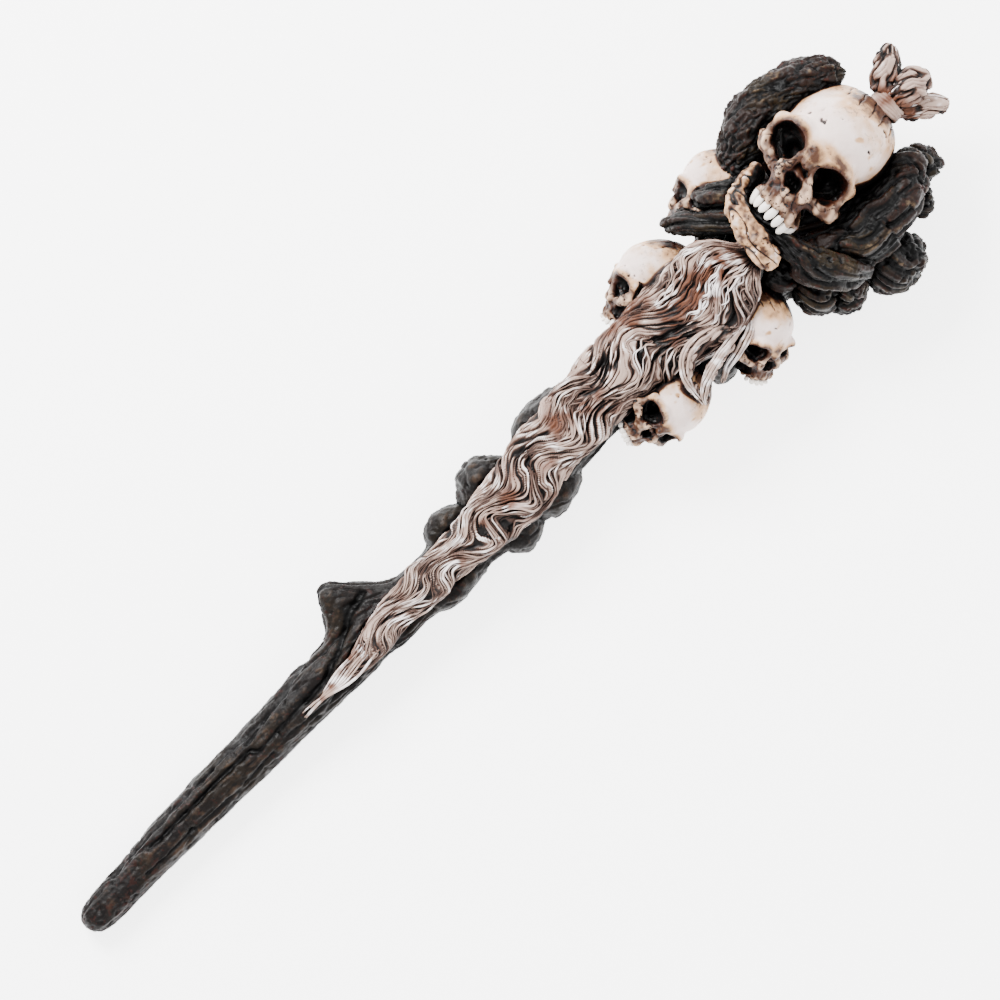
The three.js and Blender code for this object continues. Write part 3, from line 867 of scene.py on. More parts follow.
def skull_field(step):
    """The skull's shape, and the shape of its eye sockets and nose, in its own units."""
    low, high = np.array([-0.5, -0.44, -0.56]), np.array([0.56, 0.44, 0.5])
    axes = [np.arange(low[i], high[i], step, dtype=np.float32) for i in range(3)]
    x, y, z = np.meshgrid(*axes, indexing="ij")
    s = (x, np.abs(y), z)
    # Braincase, with a hollow at each temple.
    d = egg(s, (0.105, 0, -0.06), (0.38, 0.335, 0.42))
    d = melt(d, egg(s, (0.16, 0.12, -0.16), (0.25, 0.215, 0.26)), 0.08)
    d = melt(d, egg(s, (0.1, 0, 0.13), (0.265, 0.262, 0.25)), 0.1)
    d = melt(d, egg(s, (-0.16, 0, -0.14), (0.15, 0.2, 0.24)), 0.08)
    d = scoop(d, egg(s, (-0.02, 0.385, 0.17), (0.17, 0.085, 0.13)), 0.06)
    # Brow, and the outer rim of the socket.
    d = melt(d, bar(s, (0.0, 0.04, 0.37), (0.03, 0.19, 0.345), 0.052, 0.052), 0.05)
    d = melt(d, bar(s, (0.03, 0.19, 0.345), (-0.02, 0.298, 0.2), 0.052, 0.038), 0.05)
    d = melt(d, bar(s, (-0.02, 0.298, 0.2), (-0.17, 0.29, 0.2), 0.036, 0.044), 0.04)
    # Upper jaw and cheek, then the arch from the cheek back to the ear.
    d = melt(d, egg(s, (-0.27, 0, 0.17), (0.17, 0.155, 0.215)), 0.06)
    d = melt(d, bar(s, (-0.195, 0.27, 0.235), (-0.3, 0.14, 0.285), 0.066, 0.05), 0.05)
    d = melt(d, bar(s, (-0.19, 0.3, 0.2), (-0.18, 0.345, 0.04), 0.038, 0.03), 0.03)
    d = melt(d, bar(s, (-0.18, 0.345, 0.04), (-0.14, 0.3, -0.1), 0.03, 0.036), 0.03)
    d = melt(d, bar(s, (-0.12, 0.25, -0.14), (-0.25, 0.23, -0.1), 0.06, 0.035), 0.05)
    # Bridge of the nose, its sides, and the ridge that the teeth grow from.
    d = melt(d, bar(s, (0.0, 0, 0.36), (-0.1, 0, 0.4), 0.05, 0.036), 0.05)
    d = melt(d, bar(s, (-0.1, 0.075, 0.36), (-0.25, 0.115, 0.35), 0.035, 0.045), 0.04)
    gum = [(-0.385, 0, 0.325), (-0.385, 0.09, 0.295), (-0.38, 0.15, 0.21), (-0.375, 0.165, 0.09)]
    for a, b in zip(gum[:-1], gum[1:]):
        d = melt(d, bar(s, a, b, 0.05, 0.05), 0.045)
    # Hollows under the cheek.
    d = scoop(d, egg(s, (-0.335, 0.25, 0.2), (0.105, 0.115, 0.2)), 0.03)
    d = melt(d, bar(s, (-0.2, 0.285, 0.225), (-0.262, 0.15, 0.3), 0.05, 0.036), 0.03)
    d = scoop(d, egg(s, (-0.31, 0.175, 0.355), (0.05, 0.045, 0.05)), 0.05)
    # Eye sockets and the nose.
    socket = egg(s, SOCKET_AT, (0.106, 0.112, 0.2))
    socket = melt(socket, bar(s, (-0.09, 0.17, 0.3), (-0.1, 0.1, 0.1), 0.09, 0.05), 0.04)
    d = scoop(d, socket, 0.018)
    nose = melt(
        egg(s, (-0.24, 0.024, 0.37), (0.052, 0.04, 0.13)),
        bar(s, (-0.22, 0.0, 0.39), (-0.14, 0.0, 0.42), 0.036, 0.014), 0.03,
    )
    d = scoop(d, nose, 0.012)
    return Field(d, low, step), Field(np.minimum(socket, nose), low, step)


# How each skull stands: its height in millimetres, its roll about its own long axis, pitch and heading
# in degrees, as its CAD node has them.
SKULLS = {
    "main_skull": (46.0, (0, -3, -3.5)),
    "upper_left_skull": (29.12, (-98, -6, 24)),
    "lower_left_skull": (29.12, (-84, -8, 24)),
    "upper_right_skull": (26.88, (45, -28, 24)),
    "lower_right_skull": (27.72, (42, -15, -26)),
}
EYE_LINE, CROWN_LEAN, FACE_LEAN = -0.085, 0.06, 0.25


def leaned(points):
    """The main skull's crooked bend to its right, above and below the line of its eyes."""
    above = points[:, 0] - EYE_LINE
    bent = points.copy()
    bent[:, 1] -= np.where(above > 0, CROWN_LEAN * above, -FACE_LEAN * above)
    return bent


class Stand:
    """Puts a skull's own points in the wand, with the middle of its box on its CAD cranium's."""

    def __init__(self, name, points):
        self.height, angles = SKULLS[name]
        self.bend = leaned if name == "main_skull" else np.copy
        self.turn = np.array(Euler([math.radians(a) for a in angles], "XYZ").to_matrix())
        turned = (self.bend(points) * self.height) @ self.turn.T
        self.centre = node_middle(name + "_cranium") - (turned.min(0) + turned.max(0)) / 2

    def place(self, points):
        return (self.bend(points) * self.height) @ self.turn.T + self.centre


def make_skull(name, shape, hollows):
    """A skull with its pits, creases, seams and paint; returns how it stands."""
    own = own_number(name, 89)
    points, faces = shape.surface()
    stand = Stand(name, points)
    soft = shape.blurred(0.035)
    normals = point_normals(points, faces)
    face = smooth_step(0.0, -0.12, points[:, 0]) * smooth_step(-0.05, 0.14, points[:, 2])
    wobble = 0.010 * noise(points * 4.5 + own) + 0.004 * noise(points * 11 + own)
    wobble = wobble + 0.0016 * noise(points * 30 + own)
    knobs = face * (0.008 * noise(points * 12 - own) + 0.006 * noise(points * 25 + 3 * own))
    spots = smooth_step(0.0, 0.4, noise(points * 5 + 2 * own)) + face
    pits = -0.014 * smooth_step(0.42, 0.66, noise(points * 24 - own)) * np.clip(spots, 0, 1)
    creases = 0.009 * face * groove(noise(points * (7, 10, 7) + own), 0.06)
    seams = seam_relief(points) + crown_furrows(points)
    tooth_roots = 0.008 * np.cos(points[:, 1] * 2 * math.pi / 0.06) * smooth_step(-0.3, -0.36, points[:, 0])
    tooth_roots *= smooth_step(0.12, 0.2, points[:, 2])
    moved = points + normals * (wobble + knobs + pits + creases + seams + tooth_roots)[:, None]
    bulge = soft.at(points)
    hole = hollows.at(points)
    deep = smooth_step(0.008, -0.02, hole)
    placed = stand.place(moved)
    outward = normals @ stand.turn.T
    # Painted shade where the skull sits among roots, hair and other skulls; it darkens the recess mask and
    # browns the stain mask.
    crevice_shade = painted_crevice_shade(placed + 0.3 * outward, outward)
    sunk = np.clip(-(pits + seams + creases) / 0.012, 0, 1)
    recess = deep + 0.3 * smooth_step(0.05, 0.0, hole) + 0.65 * sunk
    recess = recess + 0.8 * face * smooth_step(0.01, -0.01, bulge + 0.8 * knobs)
    recess = recess + 0.8 * smooth_step(0.35, 0.9, crevice_shade)
    x, y, z = moved.T
    blotch = 0.5 + 0.5 * noise(moved * 7 + own) + 0.3 * noise(moved * 17 + own)
    stain = 0.95 * smooth_step(0.085, 0.0, hole) * smooth_step(0.0, 0.25, z)
    between = np.exp(-((y / 0.13) ** 2) - ((x + 0.03) / 0.085) ** 2) * smooth_step(0.1, 0.25, z)
    stain = np.maximum(stain, 1.0 * between * (0.6 + 0.6 * blotch))
    if name == "main_skull":
        over_eye = np.exp(-(((x - 0.055) / 0.05) ** 2) - ((y + 0.13) / 0.15) ** 2) * smooth_step(0.05, 0.2, z)
        stain = np.maximum(stain, over_eye * (0.55 + 0.6 * blotch))
    stain = np.maximum(stain, smooth_step(0.34, 0.47, x + 0.05 * noise(moved * 9 + own)))
    stain = np.maximum(stain, face * (0.75 + 0.6 * blotch))
    stain = np.maximum(stain, 0.7 * smooth_step(0.16, 0.4, x) * (0.35 + 0.75 * blotch))
    stain = np.maximum(stain, 0.6 * smooth_step(0.22, 0.36, np.abs(y)) * (0.4 + 0.8 * blotch))
    # Browner in the crevices between pieces: painted shade.
    stain = np.maximum(stain, 0.9 * smooth_step(0.25, 0.7, crevice_shade))
    stain = np.maximum(stain, 0.75 * smooth_step(0.12, -0.25, z) * (0.5 + 0.6 * blotch))
    stain = np.maximum(stain, 0.55 * smooth_step(0.62, 0.9, blotch))
    brow = np.exp(-((y / 0.2) ** 2)) * smooth_step(-0.2, -0.1, x)
    ridges = smooth_step(-0.002, 0.028, bulge + 1.1 * knobs)
    brushed = face * (1 - 0.6 * brow) * ridges * (0.9 + 0.35 * noise(moved * 15))
    masks = {
        "recess": np.clip(recess, 0, 1),
        "stain": np.clip(stain, 0, 1),
        "proud": np.clip(smooth_step(0.008, 0.03, bulge) + 0.3 * smooth_step(0.0, 0.2, x), 0, 1),
        "brushed": np.clip(brushed * (1 - deep), 0, 1),
    }
    finish_piece(name + "_bone", placed, faces, BONE, [name + "_cranium"], masks)
    return stand


def seam_relief(points):
    """The wandering seams between the plates of the braincase."""
    x, y, z = points.T
    wiggle = 0.012 * noise(points * 22) + 0.006 * noise(points * 55)
    over_top = np.abs(z + 0.02 + 0.25 * np.abs(y) + wiggle)
    middle = np.abs(y + wiggle)
    crown = smooth_step(0.1, 0.2, x)
    across = np.exp(-((over_top / 0.007) ** 2)) * crown
    lengthwise = np.exp(-((middle / 0.007) ** 2)) * smooth_step(0.05, -0.02, z) * crown
    return -0.008 * np.maximum(across, lengthwise)


def crown_furrows(points):
    """Short furrows that the topknot pulls into the top of the crown."""
    x, y, _ = points.T
    lines = np.abs(np.sin(y * 2 * math.pi / 0.17 + 1.2 * noise(points * 6)))
    return -0.022 * smooth_step(0.3, 0.0, lines) * smooth_step(0.36, 0.44, x + 0.06 * noise(points * 12))


# ------------------------------------------------------------------ teeth, by geometry nodes
def socket_id(tree, name):
    return next(s.identifier for s in tree.interface.items_tree if s.name == name and s.in_out == "INPUT")


def build_tooth_row():
    """Puts a tooth on each point of the row, turned and sized by the point's own values."""
    tree = bpy.data.node_groups.new("tooth_row", "GeometryNodeTree")
    group_socket(tree, "Gum Points", "NodeSocketGeometry")
    group_socket(tree, "Tooth Length", NUMBER, 0.005)
    group_socket(tree, "Tooth Width", NUMBER, 0.0026)
    group_socket(tree, "Tooth Thickness", NUMBER, 0.002)
    group_socket(tree, "Unevenness", NUMBER, 0.12)
    group_socket(tree, "Seed", "NodeSocketInt", 3)
    group_socket(tree, "Finish", "NodeSocketMaterial")
    group_socket(tree, "Teeth", "NodeSocketGeometry", way="OUTPUT")
    given = new_node(tree, "NodeGroupInput", (-900, 0))
    result = new_node(tree, "NodeGroupOutput", (900, 0))
    link = tree.links.new
    ball = new_node(tree, "GeometryNodeMeshIcoSphere", (-700, -200))
    ball.inputs["Radius"].default_value = 0.5
    ball.inputs["Subdivisions"].default_value = 3
    # A rounded peg, broader at its biting edge: the ball is squared off, then pinched at the root.
    place = new_node(tree, "GeometryNodeInputPosition", (-900, -450))
    split = new_node(tree, "ShaderNodeSeparateXYZ", (-750, -450))
    link(place.outputs[0], split.inputs[0])
    pinch = new_node(tree, "ShaderNodeMapRange", (-600, -450))
    link(split.outputs["Z"], pinch.inputs["Value"])
    for label, number in (("From Min", -0.5), ("From Max", 0.5), ("To Min", 1.25), ("To Max", 0.85)):
        pinch.inputs[label].default_value = number
    wide = math_node(tree, "MULTIPLY", split.outputs["X"], pinch.outputs["Result"], at=(-400, -400))
    joined = new_node(tree, "ShaderNodeCombineXYZ", (-250, -450))
    link(wide, joined.inputs["X"])
    link(split.outputs["Y"], joined.inputs["Y"])
    link(split.outputs["Z"], joined.inputs["Z"])
    shape = new_node(tree, "GeometryNodeSetPosition", (-100, -200))
    link(ball.outputs["Mesh"], shape.inputs["Geometry"])
    link(joined.outputs[0], shape.inputs["Position"])
    turn = new_node(tree, "GeometryNodeInputNamedAttribute", (-500, 250), data_type="FLOAT_VECTOR")
    turn.inputs["Name"].default_value = "turn"
    size = new_node(tree, "ShaderNodeCombineXYZ", (-500, 50))
    link(given.outputs["Tooth Width"], size.inputs["X"])
    link(given.outputs["Tooth Thickness"], size.inputs["Y"])
    link(given.outputs["Tooth Length"], size.inputs["Z"])
    low = math_node(tree, "SUBTRACT", 1.0, given.outputs["Unevenness"], at=(-650, 150))
    high = math_node(tree, "ADD", 1.0, given.outputs["Unevenness"], at=(-650, 100))
    chance = new_node(tree, "FunctionNodeRandomValue", (-350, 150), data_type="FLOAT")
    link(low, chance.inputs["Min"])
    link(high, chance.inputs["Max"])
    link(given.outputs["Seed"], chance.inputs["Seed"])
    grown = new_node(tree, "ShaderNodeVectorMath", (-200, 50), operation="SCALE")
    link(size.outputs[0], grown.inputs[0])
    link(chance.outputs[1], grown.inputs["Scale"])
    spread = new_node(tree, "GeometryNodeInstanceOnPoints", (150, 100))
    link(given.outputs["Gum Points"], spread.inputs["Points"])
    link(shape.outputs["Geometry"], spread.inputs["Instance"])
    link(turn.outputs["Attribute"], spread.inputs["Rotation"])
    link(grown.outputs[0], spread.inputs["Scale"])
    real = new_node(tree, "GeometryNodeRealizeInstances", (400, 100))
    link(spread.outputs["Instances"], real.inputs["Geometry"])
    coat = new_node(tree, "GeometryNodeSetMaterial", (600, 100))
    link(real.outputs["Geometry"], coat.inputs["Geometry"])
    link(given.outputs["Finish"], coat.inputs["Material"])
    link(coat.outputs["Geometry"], result.inputs["Teeth"])
    return tree


def grown_mesh(name, mesh, tree, values):
    """Runs a node tree on a mesh and returns the result as a plain mesh."""
    source = bpy.data.objects.new(name + "_source", mesh)
    bpy.context.scene.collection.objects.link(source)
    modifier = source.modifiers.new("grow", "NODES")
    modifier.node_group = tree
    for label, value in values.items():
        modifier[socket_id(tree, label)] = value
    bpy.context.view_layer.update()
    evaluated = source.evaluated_get(bpy.context.evaluated_depsgraph_get())
    result = bpy.data.meshes.new_from_object(evaluated)
    source.modifiers.remove(modifier)
    bpy.data.objects.remove(source)
    result.name = name
    return result


TOOTH_ROW = build_tooth_row()


def tooth_row(name, stand, teeth, arch, spread, drop, point_way, length, width, cad_nodes):
    """A row of teeth round an arch: arch is (half width, set back, depth) in skull units."""
    reach, back, depth = arch
    places, turns = [], []
    for i in range(teeth):
        angle = spread * ((2 * i + 1) / teeth - 1)
        places.append([drop, reach * math.sin(angle), back + depth * math.cos(angle)])
        outward = Vector((0, math.sin(angle) * 1.1, math.cos(angle))).normalized()
        down = Vector((point_way, 0.1 * math.sin(5 * i), 0.12)).normalized()
        side = down.cross(outward).normalized()
        outward = side.cross(down)
        basis = Matrix((side, outward, down)).transposed()
        turns.append((Matrix(stand.turn.tolist()) @ basis).to_euler())
    mesh = bpy.data.meshes.new(name + "_gum_points")
    mesh.from_pydata((stand.place(np.array(places)) * MM).tolist(), [], [])
    attribute = mesh.attributes.new("turn", "FLOAT_VECTOR", "POINT")
    attribute.data.foreach_set("vector", np.array([list(t) for t in turns], np.float32).ravel())
    size = stand.height * MM
    values = {
        "Tooth Length": length * size, "Tooth Width": width * size, "Tooth Thickness": width * 0.85 * size,
        "Unevenness": 0.16, "Seed": len(name), "Finish": IVORY,
    }
    result = grown_mesh(name, mesh, TOOTH_ROW, values)
    points, normals = mesh_points(result)
    gum_line = stand.place(np.array([[drop, 0, 0]]))[0]
    along = (points - gum_line) @ (stand.turn @ np.array([1.0, 0, 0])) * -point_way
    # Painted shade where the teeth sit among other pieces, added to the wash toward the gum.
    crevice_shade = painted_crevice_shade(points, normals)
    reach = 0.5 * length * stand.height
    recess = np.clip(0.8 * smooth_step(-0.3 * reach, reach, along) + 0.35 * smooth_step(0.5, 1.0, crevice_shade), 0, 1)
    add_mask(result, "recess", recess)
    shade_smooth(result)
    settle(bpy.data.objects.new(name, result), IVORY, cad_nodes)


FINE_SKULL_STEP, SMALL_SKULL_STEP = 0.0068, 0.0105


def make_skulls():
    fine, coarse = skull_field(FINE_SKULL_STEP), skull_field(SMALL_SKULL_STEP)
    for name in SKULLS:
        main = name == "main_skull"
        stand = make_skull(name, *(fine if main else coarse))
        arch, spread = ((0.18, 0.09, 0.25), 1.15) if main else ((0.165, 0.09, 0.255), 1.02)
        length, width = (0.125, 0.05) if main else (0.1, 0.056)
        row = [name + "_upper_teeth"]
        tooth_row(name + "_teeth_upper", stand, 7, arch, spread, -0.45, -1, length, width, row)
        if main:
            make_jaw(stand)


def make_jaw(stand):
    """The open jaw, knobbly and pitted, with a few small teeth left in the chin."""
    name = "main_skull_jaw"
    points, faces = node_field([name], 0.3, 3.0).blurred(0.6).surface(0.15)
    normals = point_normals(points, faces)
    knobs = 0.7 * noise(points / 3.6) + 0.3 * noise(points / 1.6)
    pits = -0.6 * smooth_step(0.4, 0.65, noise(points / 1.3 + 9))
    furrow = 0.8 * groove(noise(points / (3.4, 16.0, 5.0) + 2), 0.16)
    moved = points + normals * (knobs + pits + furrow)[:, None]
    # Painted shade in crevices where the jaw meets roots and skull: it darkens the recess mask and thins the
    # pale brushwork there.
    crevice_shade = painted_crevice_shade(moved, normals)
    sunk = np.clip(-(pits + furrow + 0.5 * knobs) / 0.8, 0, 1)
    masks = {
        "recess": np.clip(0.85 * sunk + 0.9 * smooth_step(0.3, 0.9, crevice_shade), 0, 1),
        "stain": np.clip(0.6 + 0.5 * noise(points / 4) + 0.3 * noise(points / 1.5), 0, 1),
        "proud": np.zeros(len(points)),
        "brushed": np.clip(0.12 + 0.8 * knobs + 0.4 * furrow, 0, 1) * (1 - 0.6 * crevice_shade),
    }
    finish_piece("main_skull_jaw_bone", moved, faces, BONE, [name], masks)
    tooth_row("main_skull_teeth_lower", stand, 3, (0.17, 0.1, 0.235), 0.35, -0.63, 1, 0.06, 0.045, [])


# ------------------------------------------------------------------ beard and topknot, by geometry nodes
def build_strands():
    """Turns drawn lines into tapered strands, each as thick as its own line says."""
    tree = bpy.data.node_groups.new("hair_strands", "GeometryNodeTree")
    group_socket(tree, "Lines", "NodeSocketGeometry")
    group_socket(tree, "Thickness", NUMBER, 1.0)
    group_socket(tree, "Sides", "NodeSocketInt", 6)
    group_socket(tree, "Finish", "NodeSocketMaterial")
    group_socket(tree, "Strands", "NodeSocketGeometry", way="OUTPUT")
    given = new_node(tree, "NodeGroupInput", (-700, 0))
    result = new_node(tree, "NodeGroupOutput", (800, 0))
    link = tree.links.new
    curve = new_node(tree, "GeometryNodeMeshToCurve", (-500, 100))
    link(given.outputs["Lines"], curve.inputs["Mesh"])
    girth = new_node(tree, "GeometryNodeInputNamedAttribute", (-500, -100), data_type="FLOAT")
    girth.inputs["Name"].default_value = "girth"
    own_girth, times = girth.outputs["Attribute"], given.outputs["Thickness"]
    thick = math_node(tree, "MULTIPLY", own_girth, times, at=(-300, -100))
    sized = new_node(tree, "GeometryNodeSetCurveRadius", (-100, 100))
    link(curve.outputs["Curve"], sized.inputs["Curve"])
    link(thick, sized.inputs["Radius"])
    ring = new_node(tree, "GeometryNodeCurvePrimitiveCircle", (-100, -150))
    link(given.outputs["Sides"], ring.inputs["Resolution"])
    ring.inputs["Radius"].default_value = 1.0
    tube = new_node(tree, "GeometryNodeCurveToMesh", (150, 100))
    link(sized.outputs["Curve"], tube.inputs["Curve"])
    link(ring.outputs["Curve"], tube.inputs["Profile Curve"])
    tube.inputs["Fill Caps"].default_value = True
    radius = new_node(tree, "GeometryNodeInputRadius", (0, -300))
    link(radius.outputs[0], tube.inputs["Scale"])
    real = new_node(tree, "GeometryNodeRealizeInstances", (350, 100))
    link(tube.outputs["Mesh"], real.inputs["Geometry"])
    coat = new_node(tree, "GeometryNodeSetMaterial", (550, 100))
    link(real.outputs["Geometry"], coat.inputs["Geometry"])
    link(given.outputs["Finish"], coat.inputs["Material"])
    link(coat.outputs["Geometry"], result.inputs["Strands"])
    return tree


STRANDS = build_strands()


def strand_mesh(name, lines, girths, sides, finish=HAIR):
    """One plain mesh of strands from lists of points, in millimetres, and their radii."""
    points = np.concatenate(lines)
    mesh = bpy.data.meshes.new(name + "_lines")
    edges, start = [], 0
    for line in lines:
        edges += [(start + i, start + i + 1) for i in range(len(line) - 1)]
        start += len(line)
    mesh.from_pydata((points * MM).tolist(), edges, [])
    attribute = mesh.attributes.new("girth", "FLOAT", "POINT")
    attribute.data.foreach_set("value", (np.concatenate(girths) * MM).astype(np.float32))
    return grown_mesh(name, mesh, STRANDS, {"Thickness": 1.0, "Sides": sides, "Finish": finish})


class Bed:
    """The smooth oval body that hair lies on, read from a CAD node in slices along X."""

    def __init__(self, name, count=180, smooth=5):
        edges = node_edges(name)
        low, high = edges[0][:, 0].min(), edges[0][:, 0].max()
        self.x = np.linspace(low + 0.4, high - 0.4, count)
        rows = []
        for x in self.x:
            hit = cut_edges(edges, 0, x)
            rows.append([hit[:, 1].min(), hit[:, 1].max(), hit[:, 2].min(), hit[:, 2].max()])
        rows = np.array(rows)
        kernel = np.hanning(2 * smooth + 3)[1:-1]
        kernel /= kernel.sum()
        padded = np.pad(rows, ((smooth, smooth), (0, 0)), mode="edge")
        rows = np.stack([np.convolve(padded[:, i], kernel, "valid") for i in range(4)], 1)
        self.middle_y = (rows[:, 0] + rows[:, 1]) / 2
        self.half_y = (rows[:, 1] - rows[:, 0]) / 2
        self.middle_z = (rows[:, 2] + rows[:, 3]) / 2
        self.half_z = (rows[:, 3] - rows[:, 2]) / 2

    def read(self, x):
        return [np.interp(x, self.x, v) for v in (self.middle_y, self.half_y, self.middle_z, self.half_z)]

    def point(self, x, turn, lift):
        """The point over the bed at a turn from its top, lifted off it by some millimetres."""
        my, hy, mz, hz = self.read(x)
        return np.stack([x, my + (hy + lift) * np.sin(turn), mz + (hz + lift) * np.cos(turn)], 1)

    def height(self, points):
        my, hy, mz, hz = self.read(points[:, 0])
        out = np.sqrt(((points[:, 1] - my) / hy) ** 2 + ((points[:, 2] - mz) / hz) ** 2)
        return (out - 1) * np.minimum(hy, hz)


def flat(x, turn, length, width):
    return np.stack([x / length, turn / width, np.full(len(x), 4.4)], 1)


def hair_flow(x, turn, girth):
    """A number that stays the same all along a hair as it waves down the beard."""
    swing = np.clip(3.2 / girth, 0.2, 0.5)
    sway = swing * np.sin(2 * math.pi * x / 24 + 1.0 * turn + 1.5 * np.sin(x / 27))
    drift = 0.42 * noise(flat(x, turn, 27, 1.15)) + 0.22 * noise(flat(x, turn, 13, 0.6) + 9)
    crimp = 0.055 * noise(flat(x, turn, 3.1, 0.4) + 21)
    return turn + sway + drift + crimp


def follow_hair(x, value, girth):
    """The turn at which a hair of this flow value lies, at each place along the beard."""
    turn = value + np.zeros(len(x))
    for _ in range(8):
        turn = turn + 0.7 * (value - hair_flow(x, turn, girth))
    return turn


def hair_relief(x, flow, girth):
    """Carved locks, strands and hairs: the height, and how deep in a furrow each point is."""
    slow = smooth_step(3.0, 8.0, girth)
    lock = groove(noise(flat(x, flow, 19, 0.40)), 0.22)
    strand = groove(noise(flat(x, flow, 12, 0.17) + 3), 0.3)
    hair = groove(noise(flat(x, flow, 7, 0.075) + 7), 0.5)
    wisp = noise(flat(x, flow, 5, 0.045) + 30)
    nicks = noise(flat(x, flow, 2.2, 0.12) + 15)
    swell = 0.9 * noise(flat(x, flow, 13, 0.55) + 12)
    height = (0.45 + 0.55 * slow) * (1.15 * lock + swell) + (0.4 + 0.4 * slow) * strand
    height += slow * (0.5 * hair + 0.16 * nicks + 0.14 * wisp)
    depth = -0.8 * lock - 0.6 * strand - 0.65 * hair - 0.3 * swell - 0.15 * nicks - 0.3 * wisp
    return height, np.clip(depth, 0, 1.3)


BEARD_BED = Bed("beard")


def patches(places, spots):
    """Soft oval patches: each spot is its place, its two radii and its strength."""
    total = np.zeros(len(places))
    for down, aside, long, wide, strength in spots:
        near = ((places[:, 0] - down) / long) ** 2 + ((places[:, 1] - aside) / wide) ** 2
        total = np.maximum(total, strength * np.exp(-near))
    return total


# Bare brown and thickly brushed places on the beard, in millimetres: down from the chin and aside
# from the beard's middle, length, width, and strength.
BROWN_PATCHES = [(18, 1.5, 17, 6.0, 1.0), (70, 2.5, 8, 4, 0.9), (40, 9, 10, 3, 0.8), (100, 0, 9, 2.5, 0.6)]
PALE_PATCHES = [(44, 1, 8, 5, 1.0), (17, -9.5, 13, 4, 1.0), (8, 10, 7, 3, 0.8)]


def hair_tone(points):
    """0 where the hair is painted pale, 1 where it is left brown."""
    middle, _, _, _ = BEARD_BED.read(points[:, 0])
    places = np.stack([BEARD_BED.x[-1] - points[:, 0], points[:, 1] - middle], 1)
    mottle = 0.6 * noise(points / 8.0) + 0.3 * noise(points / 3.5)
    brown, pale = patches(places, BROWN_PATCHES), patches(places, PALE_PATCHES)
    return np.clip(0.34 + mottle + 0.85 * brown - 0.5 * pale, 0, 1)


def worn(points):
    """Where the pale brushwork on the hair is patchy: 0 bare to 1 thick."""
    return np.clip(0.62 + 0.6 * noise(points / 6.0 + 60) + 0.5 * noise(points / 2.2 + 70), 0.08, 1.1)


def make_beard():
    """The carved body of the beard, then the strands that lie over it."""
    bed = BEARD_BED
    low, high = bed.x[0], bed.x[-1]
    top = np.linspace(-1.8, 1.8, 232)
    under = np.linspace(1.8, 2 * math.pi - 1.8, 40)[1:-1]
    turns = np.concatenate([top, under])
    # The body is made in two pieces that meet at the waist, with finer rows above it.
    waist = 44.0
    rows = np.concatenate([np.arange(high + 1.5, waist, -0.32), np.arange(waist, low - 0.5, -0.4)])
    split = int(np.searchsorted(-rows, -waist))
    make_beard_body("beard_upper", bed, rows[: split + 1], turns, ["beard"])
    make_beard_body("beard_lower", bed, rows[split:], turns, [])
    lay_strands(bed)


LOOSE_LOCKS = 40
CHIN_LOCKS = 10


def lay_strands(bed):
    """Loose locks laid over the beard: the first ones side by side under the chin, the rest anywhere."""
    low, high = bed.x[0], bed.x[-1]
    rng = np.random.default_rng(RANDOM_SEED)
    lines, girths = [], []
    for lock in range(LOOSE_LOCKS):
        at_chin = lock < CHIN_LOCKS
        start = high + rng.uniform(-4, 3) if at_chin else rng.uniform(low + 22, high + 3)
        length = rng.uniform(14, 38)
        x = np.arange(start, max(start - length, low), -0.5)
        t = np.linspace(0, 1, len(x))
        centre = -1.3 + 2.6 * (lock + 0.5) / CHIN_LOCKS if at_chin else rng.uniform(-1.35, 1.35)
        drift = rng.uniform(-0.6, 0.6)
        count = int(rng.integers(4, 8))
        _, girth, _, _ = bed.read(x)
        width = rng.uniform(1.1, 2.6) / np.maximum(girth, 4)
        close = np.sin(math.pi * np.clip(0.1 + 0.88 * t, 0, 1)) ** 0.7
        rise = rng.uniform(0.0, 0.95)
        for strand in range(count):
            k = (strand + 0.5) / count * 2 - 1
            quiver = 0.05 * np.sin(x / rng.uniform(0.9, 2.2) + rng.uniform(0, 6))
            value = centre + drift * t + k * width * close + quiver
            turn = np.clip(follow_hair(x, value, girth), -1.9, 1.9)
            ripple = 0.14 * np.sin(x / rng.uniform(0.7, 1.6) + rng.uniform(0, 6))
            lift = -0.95 + (rise + 0.8 * (1 - k * k) + 0.5) * close + rng.uniform(-0.3, 0.2) + ripple
            lines.append(bed.point(x, turn, lift * smooth_step(2.0, 7.0, girth)))
            own = rng.uniform(0.2, 0.5) * (0.3 + 0.7 * close) * (1 + 0.3 * np.sin(x / rng.uniform(0.8, 3)))
            girths.append(own * (0.45 + 0.55 * smooth_step(2.5, 8, girth)))
    mesh = strand_mesh("beard_strands", lines, girths, 6)
    shade_hair(mesh, bed.height)
    settle(bpy.data.objects.new("beard_strands", mesh), HAIR, [])


def shade_hair(mesh, height_of):
    """Dark paint low between the strands and pale paint on their backs, with painted shade on faces turned
    away from the light and in crevices, and a painted highlight on faces turned up to it.
    """
    low, high = -0.2, 1.2
    points, normals = mesh_points(mesh)
    lift = height_of(points)
    crevice_shade = painted_crevice_shade(points + 0.5 * normals, normals)
    # Faces turned up to the light get a painted highlight, faces turned away from it painted shade.
    up = smooth_step(-0.1, 0.9, normals[:, 2])
    recess = 0.75 * (1 - up) + 0.5 * smooth_step(high, low, lift) + 0.6 * smooth_step(0.4, 1.0, crevice_shade)
    add_mask(mesh, "recess", np.clip(recess, 0, 1))
    add_mask(mesh, "proud", np.clip(up * (0.25 + 0.75 * smooth_step(low, high, lift)) * worn(points), 0, 1))
    add_mask(mesh, "stain", hair_tone(points))
    shade_smooth(mesh)


